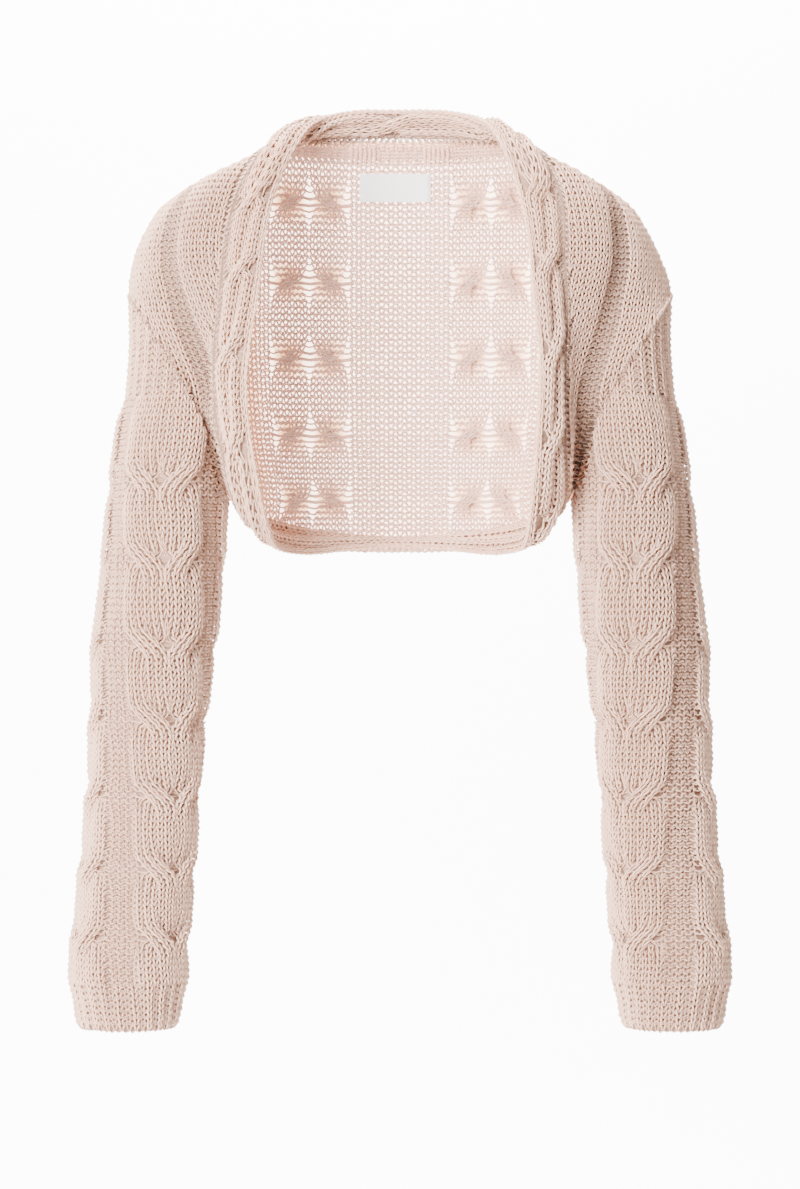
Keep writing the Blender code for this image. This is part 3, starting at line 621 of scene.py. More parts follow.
def fine_panel(surface):
    """A panel's points and normals with smooth points between them."""
    points, normals = (as_array(grid) for grid in surface)
    for _ in range(2):
        points, normals = refine(points, FINE_STEPS), refine(normals, FINE_STEPS)
        points, normals = points.transpose(1, 0, 2), normals.transpose(1, 0, 2)
    return points, normals


# ------------------------------------------------------------------ charts

BACK_HALF_COLUMNS = 18
FRONT_COLUMNS = 10
BACK_CABLE_START = BACK_MIDDLE_WALES + BACK_GUTTER_WALES + 1
BACK_REACH = 38             # wales from the middle of the back to beyond its side
BACK_ROWS = (-10.0, 57.0)   # rows and wales that the surfaces cover, past all of their edges
FRONT_ROWS = (-1.0, 58.0)
FRONT_PLACES = (-0.5, 27.0)
SLEEVE_ROWS = (-31.0, 89.0)
SLEEVE_PLACES = (-15.0, 64.0)
SLEEVE_TURN_PLACES = (-40.0, 80.0)


def back_arcs(places):
    """Distance from the middle of the back to each place, across the cloth."""
    inner = BACK_CABLE_X - BACK_CABLE_HALF_WIDTH
    outer = BACK_CABLE_X + BACK_CABLE_HALF_WIDTH
    first = BACK_CABLE_START - 0.5
    last = first + 2 * STRAND
    knots = [0.0, first, last, BACK_REACH + 0.5]
    reach = [0.0, inner, outer, outer + (BACK_REACH + 0.5 - last) * BACK_PLAIN_WALE]
    return np.interp(places, knots, reach)


def back_heights(rows):
    knots = (np.arange(len(BACK_CROSSINGS)) - 1.0) * CABLE_REPEAT
    return np.interp(rows, knots, BACK_CROSSINGS)


def make_back_surface():
    rows = steps_between(*BACK_ROWS)
    places = steps_between(0.0, BACK_REACH + 0.5)
    halves = {}
    for side in (-1, 1):
        points, normals = fine_panel(back_half(side, BACK_HALF_COLUMNS))
        halves[side] = cut_courses(points, normals, back_heights(rows), back_arcs(places), places)
    joined = [np.concatenate([halves[-1][n][:, :0:-1], halves[1][n]], axis=1) for n in range(2)]
    all_places = np.concatenate([-places[:0:-1], places])
    return Surface(*joined, all_places, rows, -halves[-1][3], halves[1][3])


FrontLean = namedtuple("FrontLean", "z cut")       # how much the band seam cuts off a course
FRONT_LEAN_RIGHT = table_of(FrontLean, (
    (10, 8), (-41, 7), (-84, 5), (-127, 17), (-188, 32), (-229, 31), (-290, 29),
))
FRONT_LEAN_LEFT = table_of(FrontLean, (
    (10, 2), (-41, 3), (-84, 6), (-124, 21), (-150, 35), (-188, 50), (-229, 47), (-290, 40),
))


def front_heights(rows):
    return SHOULDER_TOP - 1.0 - ROW * rows


def make_front_surface(side):
    rows = steps_between(*FRONT_ROWS)
    places = steps_between(*FRONT_PLACES)
    points, normals = fine_panel(front_surface(side, FRONT_COLUMNS))
    heights = front_heights(rows)
    shifts = [read_table(FRONT_LEAN_LEFT if side < 0 else FRONT_LEAN_RIGHT, z).cut for z in heights]
    arcs = (places - places[0]) * FRONT_WALE
    lines, faces, starts, ends = cut_courses(points, normals, heights, arcs, places, shifts)
    return Surface(lines, faces, places, rows, starts, ends)


def sleeve_angles(places):
    """Degrees round the sleeve at each place: cables, and wider purl gutters between them."""
    cable = 2 * STRAND
    repeat = cable + SLEEVE_GUTTER_WALES
    count = np.floor((places + 0.5) / repeat)
    within = places + 0.5 - count * repeat
    half = SLEEVE_CABLE_HALF_ANGLE
    pitch = 360.0 / SLEEVE_CABLES
    return count * pitch + SLEEVE_CABLE_OFFSET + np.interp(
        within, [0.0, cable, repeat], [-half, half, pitch - half])


def sleeve_places(angles):
    places = steps_between(*SLEEVE_TURN_PLACES)
    return np.interp(angles, sleeve_angles(places), places)


SLEEVE_ROW_KNOTS = (-31.0, 0.0, 12.0, 24.0, 36.0, 48.0, 60.0, 72.0, 87.0)
SLEEVE_ROW_HEIGHTS = (-100.0,) + SLEEVE_CROSSINGS[1:] + (CUFF_EDGE,)


def sleeve_heights(rows):
    return np.interp(rows, SLEEVE_ROW_KNOTS, SLEEVE_ROW_HEIGHTS)


def sleeve_turn(heights):
    share = (TWIST_TOP - heights) / (TWIST_TOP - TWIST_BOTTOM)
    return SLEEVE_TWIST * np.clip(share, 0.0, SLEEVE_TWIST_LIMIT)


def make_sleeve_surface(side):
    rows = steps_between(*SLEEVE_ROWS)
    places = steps_between(*SLEEVE_PLACES)
    heights = sleeve_heights(rows)
    sections = np.array([read_table(SLEEVE_SECTIONS, z) for z in heights])
    angles = np.radians(sleeve_angles(places)[None, :] + sleeve_turn(heights)[:, None])
    _, centre_x, centre_y, half_width, half_depth = (column[:, None] for column in sections.T)
    points = np.stack([side * (centre_x + half_width * np.sin(angles)),
                       centre_y - half_depth * np.cos(angles),
                       np.broadcast_to(heights[:, None], angles.shape)], axis=2)
    normals = np.stack([side * np.sin(angles), -np.cos(angles), np.zeros(angles.shape)], axis=2)
    facing = np.radians(np.arange(-90, 91))
    seam = [seam_height(angle) for angle in facing]
    start = np.interp(heights, seam, np.degrees(facing))
    return Surface(points, normals, places, rows,
                   sleeve_places(start), sleeve_places(180.0 - start))


# ------------------------------------------------------------------ the band's surface

BAND_SEAM_PLACE = -0.5
HEM_CROSSINGS = 4
BAND_CROSSINGS_RIGHT = (-29.0, -89.0, -158.0, -232.0, -292.0)
BAND_CROSSINGS_LEFT = (-238.0, -164.0, -96.0, -37.0)
BAND_CROSSINGS_NECK = (77.0, -88.0, -5.0)
BAND_STEPS = 4              # finer sections of the band between its own
BAND_OVERLAP = 3.0          # rows of its surface past the place where it closes
FIRST_CROSSING = 0.5        # row of a piece's first crossing


def band_stations(fronts, back_halves):
    """Seam edge, inner seam edge and folded edge at each point round the opening."""
    points = []

    def free_at(table, share, side):
        edge = read_table(table, share)
        return Vector((side * edge.x, edge.y, edge.z))

    def back_run(side, row, next_row, table, columns):
        base, normals = back_halves[side]
        for column in columns:
            points.append((base[row][column], base[row][column] - normals[row][column] * WALL,
                           base[next_row][column],
                           free_at(table, column / BACK_HALF_COLUMNS, side)))

    def front_run(side, rows):
        base, normals = fronts[side]
        for row in rows:
            edge = read_table(band_table(side), base[row][0].z)
            free = Vector((side * edge.free_x, edge.free_y, edge.free_z))
            points.append((base[row][0], base[row][0] - normals[row][0] * WALL, base[row][1], free))

    last = len(back_halves[1][0]) - 1
    front_count = len(fronts[1][0])
    half = BACK_HALF_COLUMNS
    back_run(1, 0, 1, NECK_FREE, range(0, half + 1))
    front_run(1, range(0, front_count))
    back_run(1, last, last - 1, HEM_FREE, range(half, 0, -1))
    back_run(-1, last, last - 1, HEM_FREE, range(0, half + 1))
    front_run(-1, range(front_count - 1, -1, -1))
    back_run(-1, 0, 1, NECK_FREE, range(half, 0, -1))
    stations = []
    for n, (outer, inner, neighbour, free) in enumerate(points):
        along = points[(n + 1) % len(points)][0] - points[n - 1][0]
        away = along.cross(outer - inner).normalized()
        if away.dot(outer - neighbour) < 0.0:
            away.negate()
        stations.append((outer + away * BAND_GAP, inner + away * BAND_GAP, free))
    return stations


def smooth_loop(vectors, passes):
    """Vectors round a closed loop, each averaged with its neighbours several times."""
    for _ in range(passes):
        count = len(vectors)
        vectors = [(vectors[n - 1] + vectors[n] * 2.0 + vectors[(n + 1) % count]) / 4.0
                   for n in range(count)]
    return vectors


def band_faces(stations, folds):
    """The way that the band's outer face looks at each station, without sudden turns."""
    count = len(stations)
    faces = []
    for n, (outer, inner, _) in enumerate(stations):
        ahead, behind = (n + 1) % count, n - 1
        along = folds[ahead] + stations[ahead][0] - folds[behind] - stations[behind][0]
        face = (folds[n] - (outer + inner) / 2.0).cross(along).normalized()
        if face.dot(outer - inner) < 0.0:
            face.negate()
        faces.append(face)
    return [face.normalized() for face in smooth_loop(faces, FACE_SMOOTHING)]


def band_ring(outer, inner, free, face):
    """One section of the band, from the seam over the outer face, fold and inner face."""
    seam_face = (outer - inner).normalized()
    half = BAND_THICKNESS / 2.0
    middle = (outer + inner) / 2.0
    width = free - middle
    upper, lower = [], []
    for share, thick in BAND_PROFILE[1:-1]:
        turn = smoothstep(share / BAND_FACE_TURN)
        direction = (seam_face * (1.0 - turn) + face * turn).normalized()
        sink = half * BAND_SINK * smoothstep(share / BAND_SINK_SPAN)
        spine = middle + width * share - face * sink
        upper.append(spine + direction * half * thick)
        lower.append(spine - direction * half * thick)
    tip = middle + width - face * half * BAND_SINK
    return [outer] + upper + [tip] + list(reversed(lower)) + [inner]


def band_landmarks(middle):
    """Fractional ring numbers of the rope's crossings, in their order round the loop."""
    count = len(middle)
    rings = np.arange(count)
    x, z = middle[:, 0], middle[:, 2]
    quarter = count // 4
    neck = (rings < quarter) | (rings > count - quarter)

    def nearest(values, target, among):
        return int(rings[among][np.argmin(np.abs(values[among] - target))])

    right_side = (rings < count // 2) & (z < 0.0)
    left_side = (rings > count // 2) & (z < 0.0)
    found = [nearest(x, BAND_CROSSINGS_NECK[0], neck & (rings < quarter) & (z > 0.0))]
    found += [nearest(z, height, right_side) for height in BAND_CROSSINGS_RIGHT]
    left = [nearest(z, height, left_side) for height in BAND_CROSSINGS_LEFT]
    between = np.linspace(found[-1], left[0], HEM_CROSSINGS + 2)[1:-1]
    found += list(between) + left
    found += [nearest(x, target, neck & (rings > count // 2) & (z > 0.0))
              for target in BAND_CROSSINGS_NECK[1:]]
    return np.array(found, dtype=float)


def make_band_surface():
    """The band's form by wale across and row round the loop, and its number of rows."""
    fronts = {side: front_surface(side, FRONT_COLUMNS) for side in (-1, 1)}
    backs = {side: back_half(side, BACK_HALF_COLUMNS) for side in (-1, 1)}
    stations = band_stations(fronts, backs)
    folds = smooth_loop([station[2] for station in stations], FOLD_SMOOTHING)
    faces = band_faces(stations, folds)
    rings = as_array([band_ring(outer, inner, folds[n], faces[n])
                      for n, (outer, inner, _) in enumerate(stations)])
    rings = refine(rings, BAND_STEPS, closed=True)
    places = steps_between(BAND_SEAM_PLACE, BAND_WALES - 0.5)
    across = np.linspace(0.0, 1.0, len(places))
    lengths = [line_lengths(ring) for ring in rings]
    even = np.array([read_line(across * length[-1], length, ring)
                     for length, ring in zip(lengths, rings)])
    count = len(even)
    quarter = len(places) // 4
    marks = band_landmarks(even[:, quarter])
    total = CABLE_REPEAT * len(marks)
    mark_rows = np.arange(len(marks)) * CABLE_REPEAT + FIRST_CROSSING
    mark_rows = np.concatenate([mark_rows - total, mark_rows, mark_rows + total])
    marks = np.concatenate([marks - count, marks, marks + count])
    rows = steps_between(-BAND_OVERLAP, total + BAND_OVERLAP)
    at = np.interp(rows, mark_rows, marks)
    ring = np.floor(at).astype(int)
    share = (at - ring)[:, None, None]
    points = even[ring % count] * (1.0 - share) + even[(ring + 1) % count] * share
    normals = np.cross(np.gradient(points, axis=1), np.gradient(points, axis=0))
    outward = points[:, quarter] - points[:, -len(places) // 4]
    if (normals[:, quarter] * outward).sum() < 0.0:
        normals = -normals
    starts = np.full(len(rows), BAND_SEAM_PLACE)
    return Surface(points, normals, places, rows, starts, starts + BAND_WALES), total


# ------------------------------------------------------------------ knitting

YARN_RADIUS = {"sleeve": 0.90, "front": 0.84, "back": 0.94, "band": 0.88}
PURL_YARN = {"sleeve": 0.92}             # how much of that radius purl stitches keep
THICK_YARN = {"back": (6, 1.13)}         # wales from the middle with thicker yarn, and how much
HAZE_DEPTH = {"sleeve": 4.8, "front": 4.4, "back": 1.2, "band": 3.8}

Shade = namedtuple("Shade", "behind under purl hollow purl_hollow top")
SHADES = {                  # painted shade: how much darker the wool is painted there, yarn then haze
    "sleeve": Shade(0.32, 0.28, 0.04, 0.8, 0.55, 0.0),
    "front": Shade(0.50, 0.35, 0.42, 1.0, 1.0, 0.0),
    "back": Shade(0.0, 0.0, 0.0, 0.0, 0.0, 0.22),
    "band": Shade(0.48, 0.32, 0.42, 0.9, 1.0, 0.0),
}
CALM_FROM = 62.0            # rows of the band along the hem, where its inner face is plain
CALM_TO = 116.0
CALM_FADE = 5.0
CALM_SHADE = 0.35           # how much of the painted shade stays there

Crossing = namedtuple("Crossing", "front_span rear_span hold hump spread pinch draw pulls")
CROSSINGS = {               # rows that a change of places takes, then how it moves the wales
    "sleeve": Crossing(5.6, 2.2, 0.0, 2.8, 1.3, 0.0, 0.5, (0.6, 0.2)),
    "front": Crossing(4.8, 4.8, 0.0, 2.6, 1.0, 0.0, 0.0, ()),
    "back": Crossing(2.2, 2.0, 0.3, 2.6, 1.0, 0.34, 0.0, ()),
    "band": Crossing(5.4, 2.6, 0.0, 2.8, 1.15, 0.0, 0.0, (0.4,)),
}
STRAND_ROUNDING = {"sleeve": (0.6, 3.0), "back": (0.0, 1.2), "band": (5.0, 1.0)}
STRAND_FLATNESS = 1.6       # half a strand's width in wales, as far as it is rounded
YARN_DEPTH = 2.4            # the yarn's middle plane under the solid's outer surface
STITCH_DEPTH = 1.35         # how far a loop comes forward and goes back
FRONT_LIFT = 2.4            # strands that pass in front, and the ones behind
BACK_SINK = 2.4
EDGE_ROOM = 0.25            # wales kept clear at the end of a course
END_SHARE = 0.35            # how much of a wale may be missing at the end of a course
LEG_SWELL = 0.10            # how much thicker a loop's legs are
SIDES = 3                   # sides of the yarn's tube
UNSTEADY = 0.16             # millimetres that the strand strays
UNEVEN_HEIGHT = 0.04        # how much the loops vary in height, and the yarn in thickness
UNEVEN_YARN = 0.05

BAR_STRETCH = 1.0           # wales beyond which the yarn between two loops is a ladder bar
BAR_SINK = 0.25             # how much of its loops' sink such a bar keeps
BAR_SWELL = {"back": 0.8}   # how much thicker such a bar is
PLAIN_BAR_SWELL = 0.35

Strand = namedtuple("Strand", "points normals radii shade closed")


def hem_calm(rows):
    """1 at the rows where the band is plain along the hem, else 0."""
    return ease((rows - CALM_FROM) / CALM_FADE) * ease((CALM_TO - rows) / CALM_FADE)


class Chart:
    """What each wale of a piece is at a row, and which of them cross."""

    def __init__(self, piece, kind, units=(), crossings=(), relief=None, period=None):
        self.radius = YARN_RADIUS[piece]
        self.purl_yarn = PURL_YARN.get(piece, 1.0)
        self.bar_swell = BAR_SWELL.get(piece, PLAIN_BAR_SWELL)
        self.rounding = STRAND_ROUNDING.get(piece, (0.0, 0.0))
        self.crossing = CROSSINGS[piece]
        self.haze_depth = HAZE_DEPTH[piece]
        self.shade = SHADES[piece]
        self.matted = piece == "back"
        self.reach = OPEN_REACH if self.matted else LOOP_REACH
        self.calms = piece == "band"
        self.thick = THICK_YARN.get(piece, (0, 1.0))
        self.kind = kind
        self.units = units
        self.crossings = np.array(crossings, dtype=float)
        self.relief = relief
        self.period = period

    def softness(self, rows):
        """How much of the painted shade is kept at these rows."""
        return 1.0 - hem_calm(rows) * (1.0 - CALM_SHADE) if self.calms else 1.0

    def carried(self, slots, rows, course, offset=0.0):
        """Place and lift of these wales at these rows, where strands pass over each other."""
        place = slots + np.zeros(rows.shape)
        lift = np.zeros(rows.shape)
        at = slots + offset
        if len(self.crossings) == 0:
            return place, lift
        crossing = self.crossings[np.argmin(np.abs(self.crossings - course))]
        away = rows - crossing
        form = self.crossing
        front, rear = (
            (ease((away - form.hold) / span + 0.5) + ease((away + form.hold) / span + 0.5)) / 2.0
            for span in (form.front_span, form.rear_span))
        hump = np.exp(-(away / form.hump) ** 2)
        if course > crossing:
            front, rear = 1.0 - front, 1.0 - rear
        inside = slots if self.period is None else slots % self.period
        for first, sign in self.units:
            local = inside - first
            member = (local >= 0) & (local < STRAND)
            other = np.where(local < STRAND // 2, STRAND // 2, -(STRAND // 2))
            over = (local < STRAND // 2) == (sign > 0)
            if course > crossing:
                over = ~over
            apart = (local % (STRAND // 2) - 1.0) * (form.spread - 1.0)
            closer = (apart + sign * form.draw) * hump
            moved = other * np.where(over, front, rear) + closer
            moved -= (local + moved - (STRAND - 1) / 2.0) * form.pinch * hump
            place += np.where(member, moved, 0.0)
            lift += np.where(member, np.where(over, FRONT_LIFT, -BACK_SINK) * hump, 0.0)
            within = (at - slots + local) % (STRAND // 2) - (STRAND // 2 - 1) / 2.0
            within = np.where(within > STRAND / 4.0, within - STRAND // 2, within)
            round_off = np.cos(np.clip(within / STRAND_FLATNESS, -1.0, 1.0) * math.pi / 2.0) - 0.5
            rounding = self.rounding[0] + self.rounding[1] * hump
            lift += np.where(member, round_off * rounding, 0.0)
            for step, pull in enumerate(form.pulls, 1):
                if sign > 0:
                    place += np.where(self.beside(local, -step), pull * hump, 0.0)
                else:
                    place -= np.where(self.beside(local, STRAND - 1 + step), pull * hump, 0.0)
        return place, lift

    def beside(self, local, step):
        """Which wales lie this many wales from a unit's first one, round a tube as well."""
        return local == step if self.period is None else local % self.period == step % self.period


def yarn_radii(chart, slots, kinds, stretch, turn, random):
    """Radii along one course: fuller legs and bars, finer purl, and a little unevenness."""
    swell = 1.0 + LEG_SWELL * np.clip(-np.cos(2.0 * turn), -1.0, 1.0)
    limit, factor = chart.thick
    thick = np.where(np.abs(slots) < limit, factor, 1.0)
    swell = swell[None, :] * thick * np.where(kinds < 0.0, chart.purl_yarn, 1.0)
    for point in (0, 1, -1):
        bars = np.roll(stretch, -1) if point < 0 else stretch
        swell[:, point] *= 1.0 + chart.bar_swell * bars
    radii = chart.radius * swell.ravel()
    return radii * (1.0 + UNEVEN_YARN * random.standard_normal(radii.shape))


def knit_course(surface, chart, course, first, last, closed, random):
    """The strand of one course: its points, the way out of the cloth there, and its radii."""
    slots = np.arange(first, last + 1)[:, None].astype(float)
    turn = 2.0 * np.pi * np.arange(LOOP_POINTS) / LOOP_POINTS
    offset = (turn / (2.0 * np.pi) - 0.5 + LOOP_LEAN * np.sin(2.0 * turn))[None, :]
    reach = (-chart.reach * np.cos(turn))[None, :]
    depth = (-STITCH_DEPTH * np.cos(2.0 * turn))[None, :]
    tall = 1.0 + UNEVEN_HEIGHT * random.standard_normal(slots.shape)
    rows = course - reach * tall
    place, lift = chart.carried(slots, rows, course, offset)
    before, before_lift = chart.carried(slots - 1.0, rows, course, 0.5)
    kind = chart.kind(slots[:, 0], course)
    kind_before = chart.kind(slots[:, 0] - 1.0, course)
    bar = (lift[:, 0] + before_lift[:, 0]) / 2.0
    apart = np.abs(place[:, 0] - before[:, 0] - 1.0) - BAR_STRETCH
    lift[:, 0] = np.where(apart > 0.0, bar * BAR_SINK, bar)
    stretch = np.clip(apart, 0.0, 1.0)
    place[:, 0] = (place[:, 0] + before[:, 0]) / 2.0
    kinds = np.repeat(kind[:, None], LOOP_POINTS, axis=1)
    kinds[:, 0] = (kind + kind_before) / 2.0
    offset = np.repeat(offset, len(slots), axis=0)
    offset[:, 0] = 0.0
    places = (place + offset).ravel()
    height = (depth * kinds + lift).ravel()
    # Painted shade on the yarn: the parts of loops that lie back in the cloth, strands that pass
    # under a crossing and purl wales are darkened toward the hollow colour.
    behind = 1.0 - ease(0.5 - depth * kinds / STITCH_DEPTH / 2.0) * chart.shade.behind
    under = 1.0 - ease(-lift / BACK_SINK) * chart.shade.under
    purl = 1.0 - chart.shade.purl * (kinds < 0.0)
    shade = ((1.0 - behind * under * purl) * chart.softness(rows)).ravel()
    rows = rows.ravel()
    if not closed:
        places = np.append(places, place[-1, -1] + 0.5)
        rows = np.append(rows, course + chart.reach)
        height = np.append(height, -STITCH_DEPTH * kind[-1])
        shade = np.append(shade, shade[-1])
        low, high = surface.limits(rows)
        places = np.clip(places, low + EDGE_ROOM, np.maximum(high - EDGE_ROOM, low + EDGE_ROOM))
    if chart.relief is not None:
        height = height + chart.relief(places, rows)
    # Painted shade: the back's yarn is darkened in the spots where its strands cross.
    if chart.matted:
        shade = np.maximum(shade, matted_and_shaded_spots(chart, places, rows) * SPOT_YARN_SHADE)
    points, normals = surface.at(places, rows)
    points = points + normals * (height - YARN_DEPTH)[:, None]
    points = points + random.standard_normal(points.shape) * UNSTEADY
    radii = yarn_radii(chart, slots, kinds, stretch, turn, random)
    if not closed:
        radii = np.append(radii, radii[0])
    return Strand(points, normals, radii, shade, closed)


def knit_piece(surface, chart, courses, random, closed_from=None):
    """Every course of a piece; from a given row on they are closed rings."""
    strands = []
    for course in courses:
        if closed_from is not None and course >= closed_from:
            strands.append(knit_course(surface, chart, course, 0, chart.period - 1, True, random))
            continue
        low, high = surface.limits(np.array([float(course)]))
        first = math.ceil(low[0] + 0.5 - END_SHARE)
        last = math.floor(high[0] - 0.5 + END_SHARE)
        if last - first >= 1:
            strands.append(knit_course(surface, chart, course, first, last, False, random))
    return strands


SHADOW_NAME = "shadow"      # attribute of painted shade: how much of the dark hollow colour a point takes
FLAT_LENGTH = 0.98          # how much of its field each face fills in the flat layout
FLAT_ROOM = 0.05


def flat_strip(number, segments, longest, height):
    """Corners in the flat layout of one strand's faces: a strip for each side of its tube."""
    k, side = np.arange(segments)[:, None], np.arange(SIDES)[None, :]
    left, right = k / longest, (k + FLAT_LENGTH) / longest
    low = (number * SIDES + side + FLAT_ROOM) * height
    high = (number * SIDES + side + 1.0 - FLAT_ROOM) * height
    shape = (segments, SIDES)
    u = np.stack([np.broadcast_to(v, shape) for v in (left, right, right, left)], axis=2)
    v = np.stack([np.broadcast_to(v, shape) for v in (low, low, high, high)], axis=2)
    return np.stack([u, v], axis=3).reshape(-1, 2)


def strand_mesh(name, strands):
    """Three-sided tubes round the strands, as one mesh in metres with its own flat layout."""
    vertices, corners, flat, shades = [], [], [], []
    start = 0
    longest = max(len(strand.points) for strand in strands)
    height = 1.0 / (SIDES * len(strands))
    for number, (points, normals, radii, shade, closed) in enumerate(strands):
        if closed:
            ahead, behind = np.roll(points, -1, axis=0), np.roll(points, 1, axis=0)
        else:
            ahead = np.vstack([points[1:], points[-1:]])
            behind = np.vstack([points[:1], points[:-1]])
        along = unit(ahead - behind)
        aside = unit(np.cross(along, normals))
        out = np.cross(aside, along)
        angle = 2.0 * np.pi * np.arange(SIDES) / SIDES
        spokes = (out[:, None, :] * np.cos(angle)[None, :, None]
                  + aside[:, None, :] * -np.sin(angle)[None, :, None])
        ring = points[:, None, :] + spokes * radii[:, None, None]
        vertices.append(ring.reshape(-1, 3))
        shades.append(np.repeat(shade, SIDES))
        count = len(points)
        segments = count if closed else count - 1
        k = np.arange(segments)[:, None]
        side = np.arange(SIDES)[None, :]
        here, there = k * SIDES, ((k + 1) % count) * SIDES
        after = (side + 1) % SIDES
        quads = np.stack([here + side, there + side, there + after, here + after], axis=2)
        corners.append((quads + start).reshape(-1, 4))
        flat.append(flat_strip(number, segments, longest, height))
        start += count * SIDES
    vertices = np.concatenate(vertices) * MM
    corners = np.concatenate(corners)
    mesh = bpy.data.meshes.new(name)
    mesh.vertices.add(len(vertices))
    mesh.vertices.foreach_set("co", vertices.astype(np.float32).ravel())
    mesh.loops.add(corners.size)
    mesh.loops.foreach_set("vertex_index", corners.astype(np.int32).ravel())
    mesh.polygons.add(len(corners))
    mesh.polygons.foreach_set("loop_start", np.arange(0, corners.size, 4, dtype=np.int32))
    layer = mesh.uv_layers.new(name="OFBake")
    layer.uv.foreach_set("vector", np.concatenate(flat).astype(np.float32).ravel())
    shadow = mesh.attributes.new(SHADOW_NAME, "FLOAT", "POINT")
    shadow.data.foreach_set("value", np.concatenate(shades).astype(np.float32))
    mesh.update(calc_edges=True)
    mesh.validate()
    mesh.polygons.foreach_set("use_smooth", np.ones(len(corners), dtype=bool))
    return mesh


def add_piece(name, mesh, material):
    piece = bpy.data.objects.new(name, mesh)
    bpy.context.scene.collection.objects.link(piece)
    mesh.materials.append(material)
    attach(piece, BODY)
    return piece


def yarn_piece(name, strands, material):
    return add_piece(name, strand_mesh(name, strands), material)


# ------------------------------------------------------------------ seams

SEAM_PITCH = 2.7            # millimetres from one stitch's side to the other
SEAM_YARN = 1.0
# Painted shade: how much darker the seam yarn is painted.
SEAM_SHADE = 0.3
SEAM_BOW = 0.4              # millimetres that the yarn rises and falls over a seam
SEAM_ROW_STEP = 0.5
SEAM_WAY = 1.5              # wales inwards that give the way across a seam
Whip = namedtuple("Whip", "reach depth")
BAND_WHIPS = (Whip(3.0, 1.1), Whip(2.0, 2.4))
ARMHOLE_WHIPS = (Whip(2.2, 1.2), Whip(1.4, 2.6))
ARMHOLE_STEP = 3            # degrees
RIDGE_PLACES = (-1.7, 0.8, 3.4)     # millimetres from the inner seam of the ridge beside it
RIDGE_DEPTH = 1.6
RIDGE_YARN = 1.6
RIDGE_BEHIND = 8.0          # only the back has this ridge, behind the side seams


def whip_strand(points, ways, normals, whip, random):
    """Yarn that is whipped to and fro over a seam that closes."""
    count = len(points)
    sides = np.where(np.arange(count) % 2 == 0, 1.0, -1.0)[:, None]
    path = points + ways * sides * whip.reach - normals * (whip.depth + sides * SEAM_BOW)
    path = path + random.standard_normal(path.shape) * UNSTEADY
    return Strand(path, normals, np.full(count, SEAM_YARN), np.full(count, SEAM_SHADE), True)


def evenly(points, ways, normals):
    """The points of a closed seam, and what goes with them, at an even distance along it."""
    found = [np.vstack([each, each[:1]]) for each in (points, ways, normals)]
    length = line_lengths(found[0])
    count = 2 * int(length[-1] / SEAM_PITCH / 2.0)
    at = np.linspace(0.0, length[-1], count, endpoint=False)
    points, ways, normals = (read_line(at, length, each) for each in found)
    return points, unit(ways), unit(normals)


def band_seams(surface, total, random):
    """The two seams, outside and inside, that join the band to the garment."""
    rows = np.arange(0.0, total, SEAM_ROW_STEP)
    strands = []
    for edge, inward in ((BAND_SEAM_PLACE, 1.0), (BAND_SEAM_PLACE + BAND_WALES, -1.0)):
        points, normals = surface.at(np.full(len(rows), edge), rows)
        inside, _ = surface.at(np.full(len(rows), edge + inward * SEAM_WAY), rows)
        points, ways, normals = evenly(points, unit(inside - points), normals)
        strands += [whip_strand(points, ways, normals, whip, random) for whip in BAND_WHIPS]
    behind = points[:, 1] > RIDGE_BEHIND
    turned = int(np.argmin(behind))
    points, ways, normals, behind = (
        np.roll(each, -turned, axis=0) for each in (points, ways, normals, behind))
    edges = np.flatnonzero(np.diff(behind.astype(int))) + 1
    for first, last in zip(edges[0::2], edges[1::2]):
        for aside in RIDGE_PLACES:
            path = (points - ways * aside - normals * RIDGE_DEPTH)[first:last]
            path = path + random.standard_normal(path.shape) * UNSTEADY
            count = len(path)
            strands.append(Strand(path, normals[first:last], np.full(count, RIDGE_YARN),
                                  np.zeros(count), False))
    return strands


def armhole_seam(side, random):
    """The seam round the top of a sleeve."""
    found = [armhole(side, math.radians(angle)) for angle in range(0, 360, ARMHOLE_STEP)]
    points, normals, ways = as_array(found).transpose(1, 0, 2)
    points, ways, normals = evenly(points, ways, normals)
    return [whip_strand(points, ways, normals, whip, random) for whip in ARMHOLE_WHIPS]


# ------------------------------------------------------------------ the haze of fibres, with its painted shade and glow

DENSE_NAME = "dense"
SIDE_FROM = 17.0            # wales from the middle of the back where its haze thickens
SIDE_FADE = 6.0
SIDE_DENSE = 0.7
TOP_TO = -5.6               # the back's rows under the neck seam are dense, and darkened with painted shade, down to this one
TOP_FADE = 1.6
TOP_DENSE = 0.85
SPOT_WALES = 1.8            # reach of the spots where the back's strands cross, with denser haze and painted shade
SPOT_ROWS = 2.2
SPOT_DENSE = 0.95
SPOT_LIFT = 2.4             # millimetres outwards, behind both of the strands that cross
# Painted shade of the haze in the spots.
SPOT_SHADE = 0.5
SPOT_YARN_SHADE = 0.22      # painted shade: how much the yarn itself is darkened in the spots
SPOT_GLOW = 0.2             # share of the haze's painted glow that the spots keep
GLOW_FADES_FROM = 0.8       # share of the top's painted shade from which the haze's painted glow fades
HAZE_MERGE = 0.0002         # metres within which the haze's points become one
HAZE_SHORTEST = 0.0001
Haze = namedtuple("Haze", "first last lines columns")
SLEEVE_HAZE = Haze(-27.0, 86.8, 84, 72)
BACK_HAZE = Haze(-9.0, 55.0, 129, 148)
FRONT_HAZE = Haze(0.5, 55.5, 56, 22)
BAND_HAZE_COLUMNS = 28


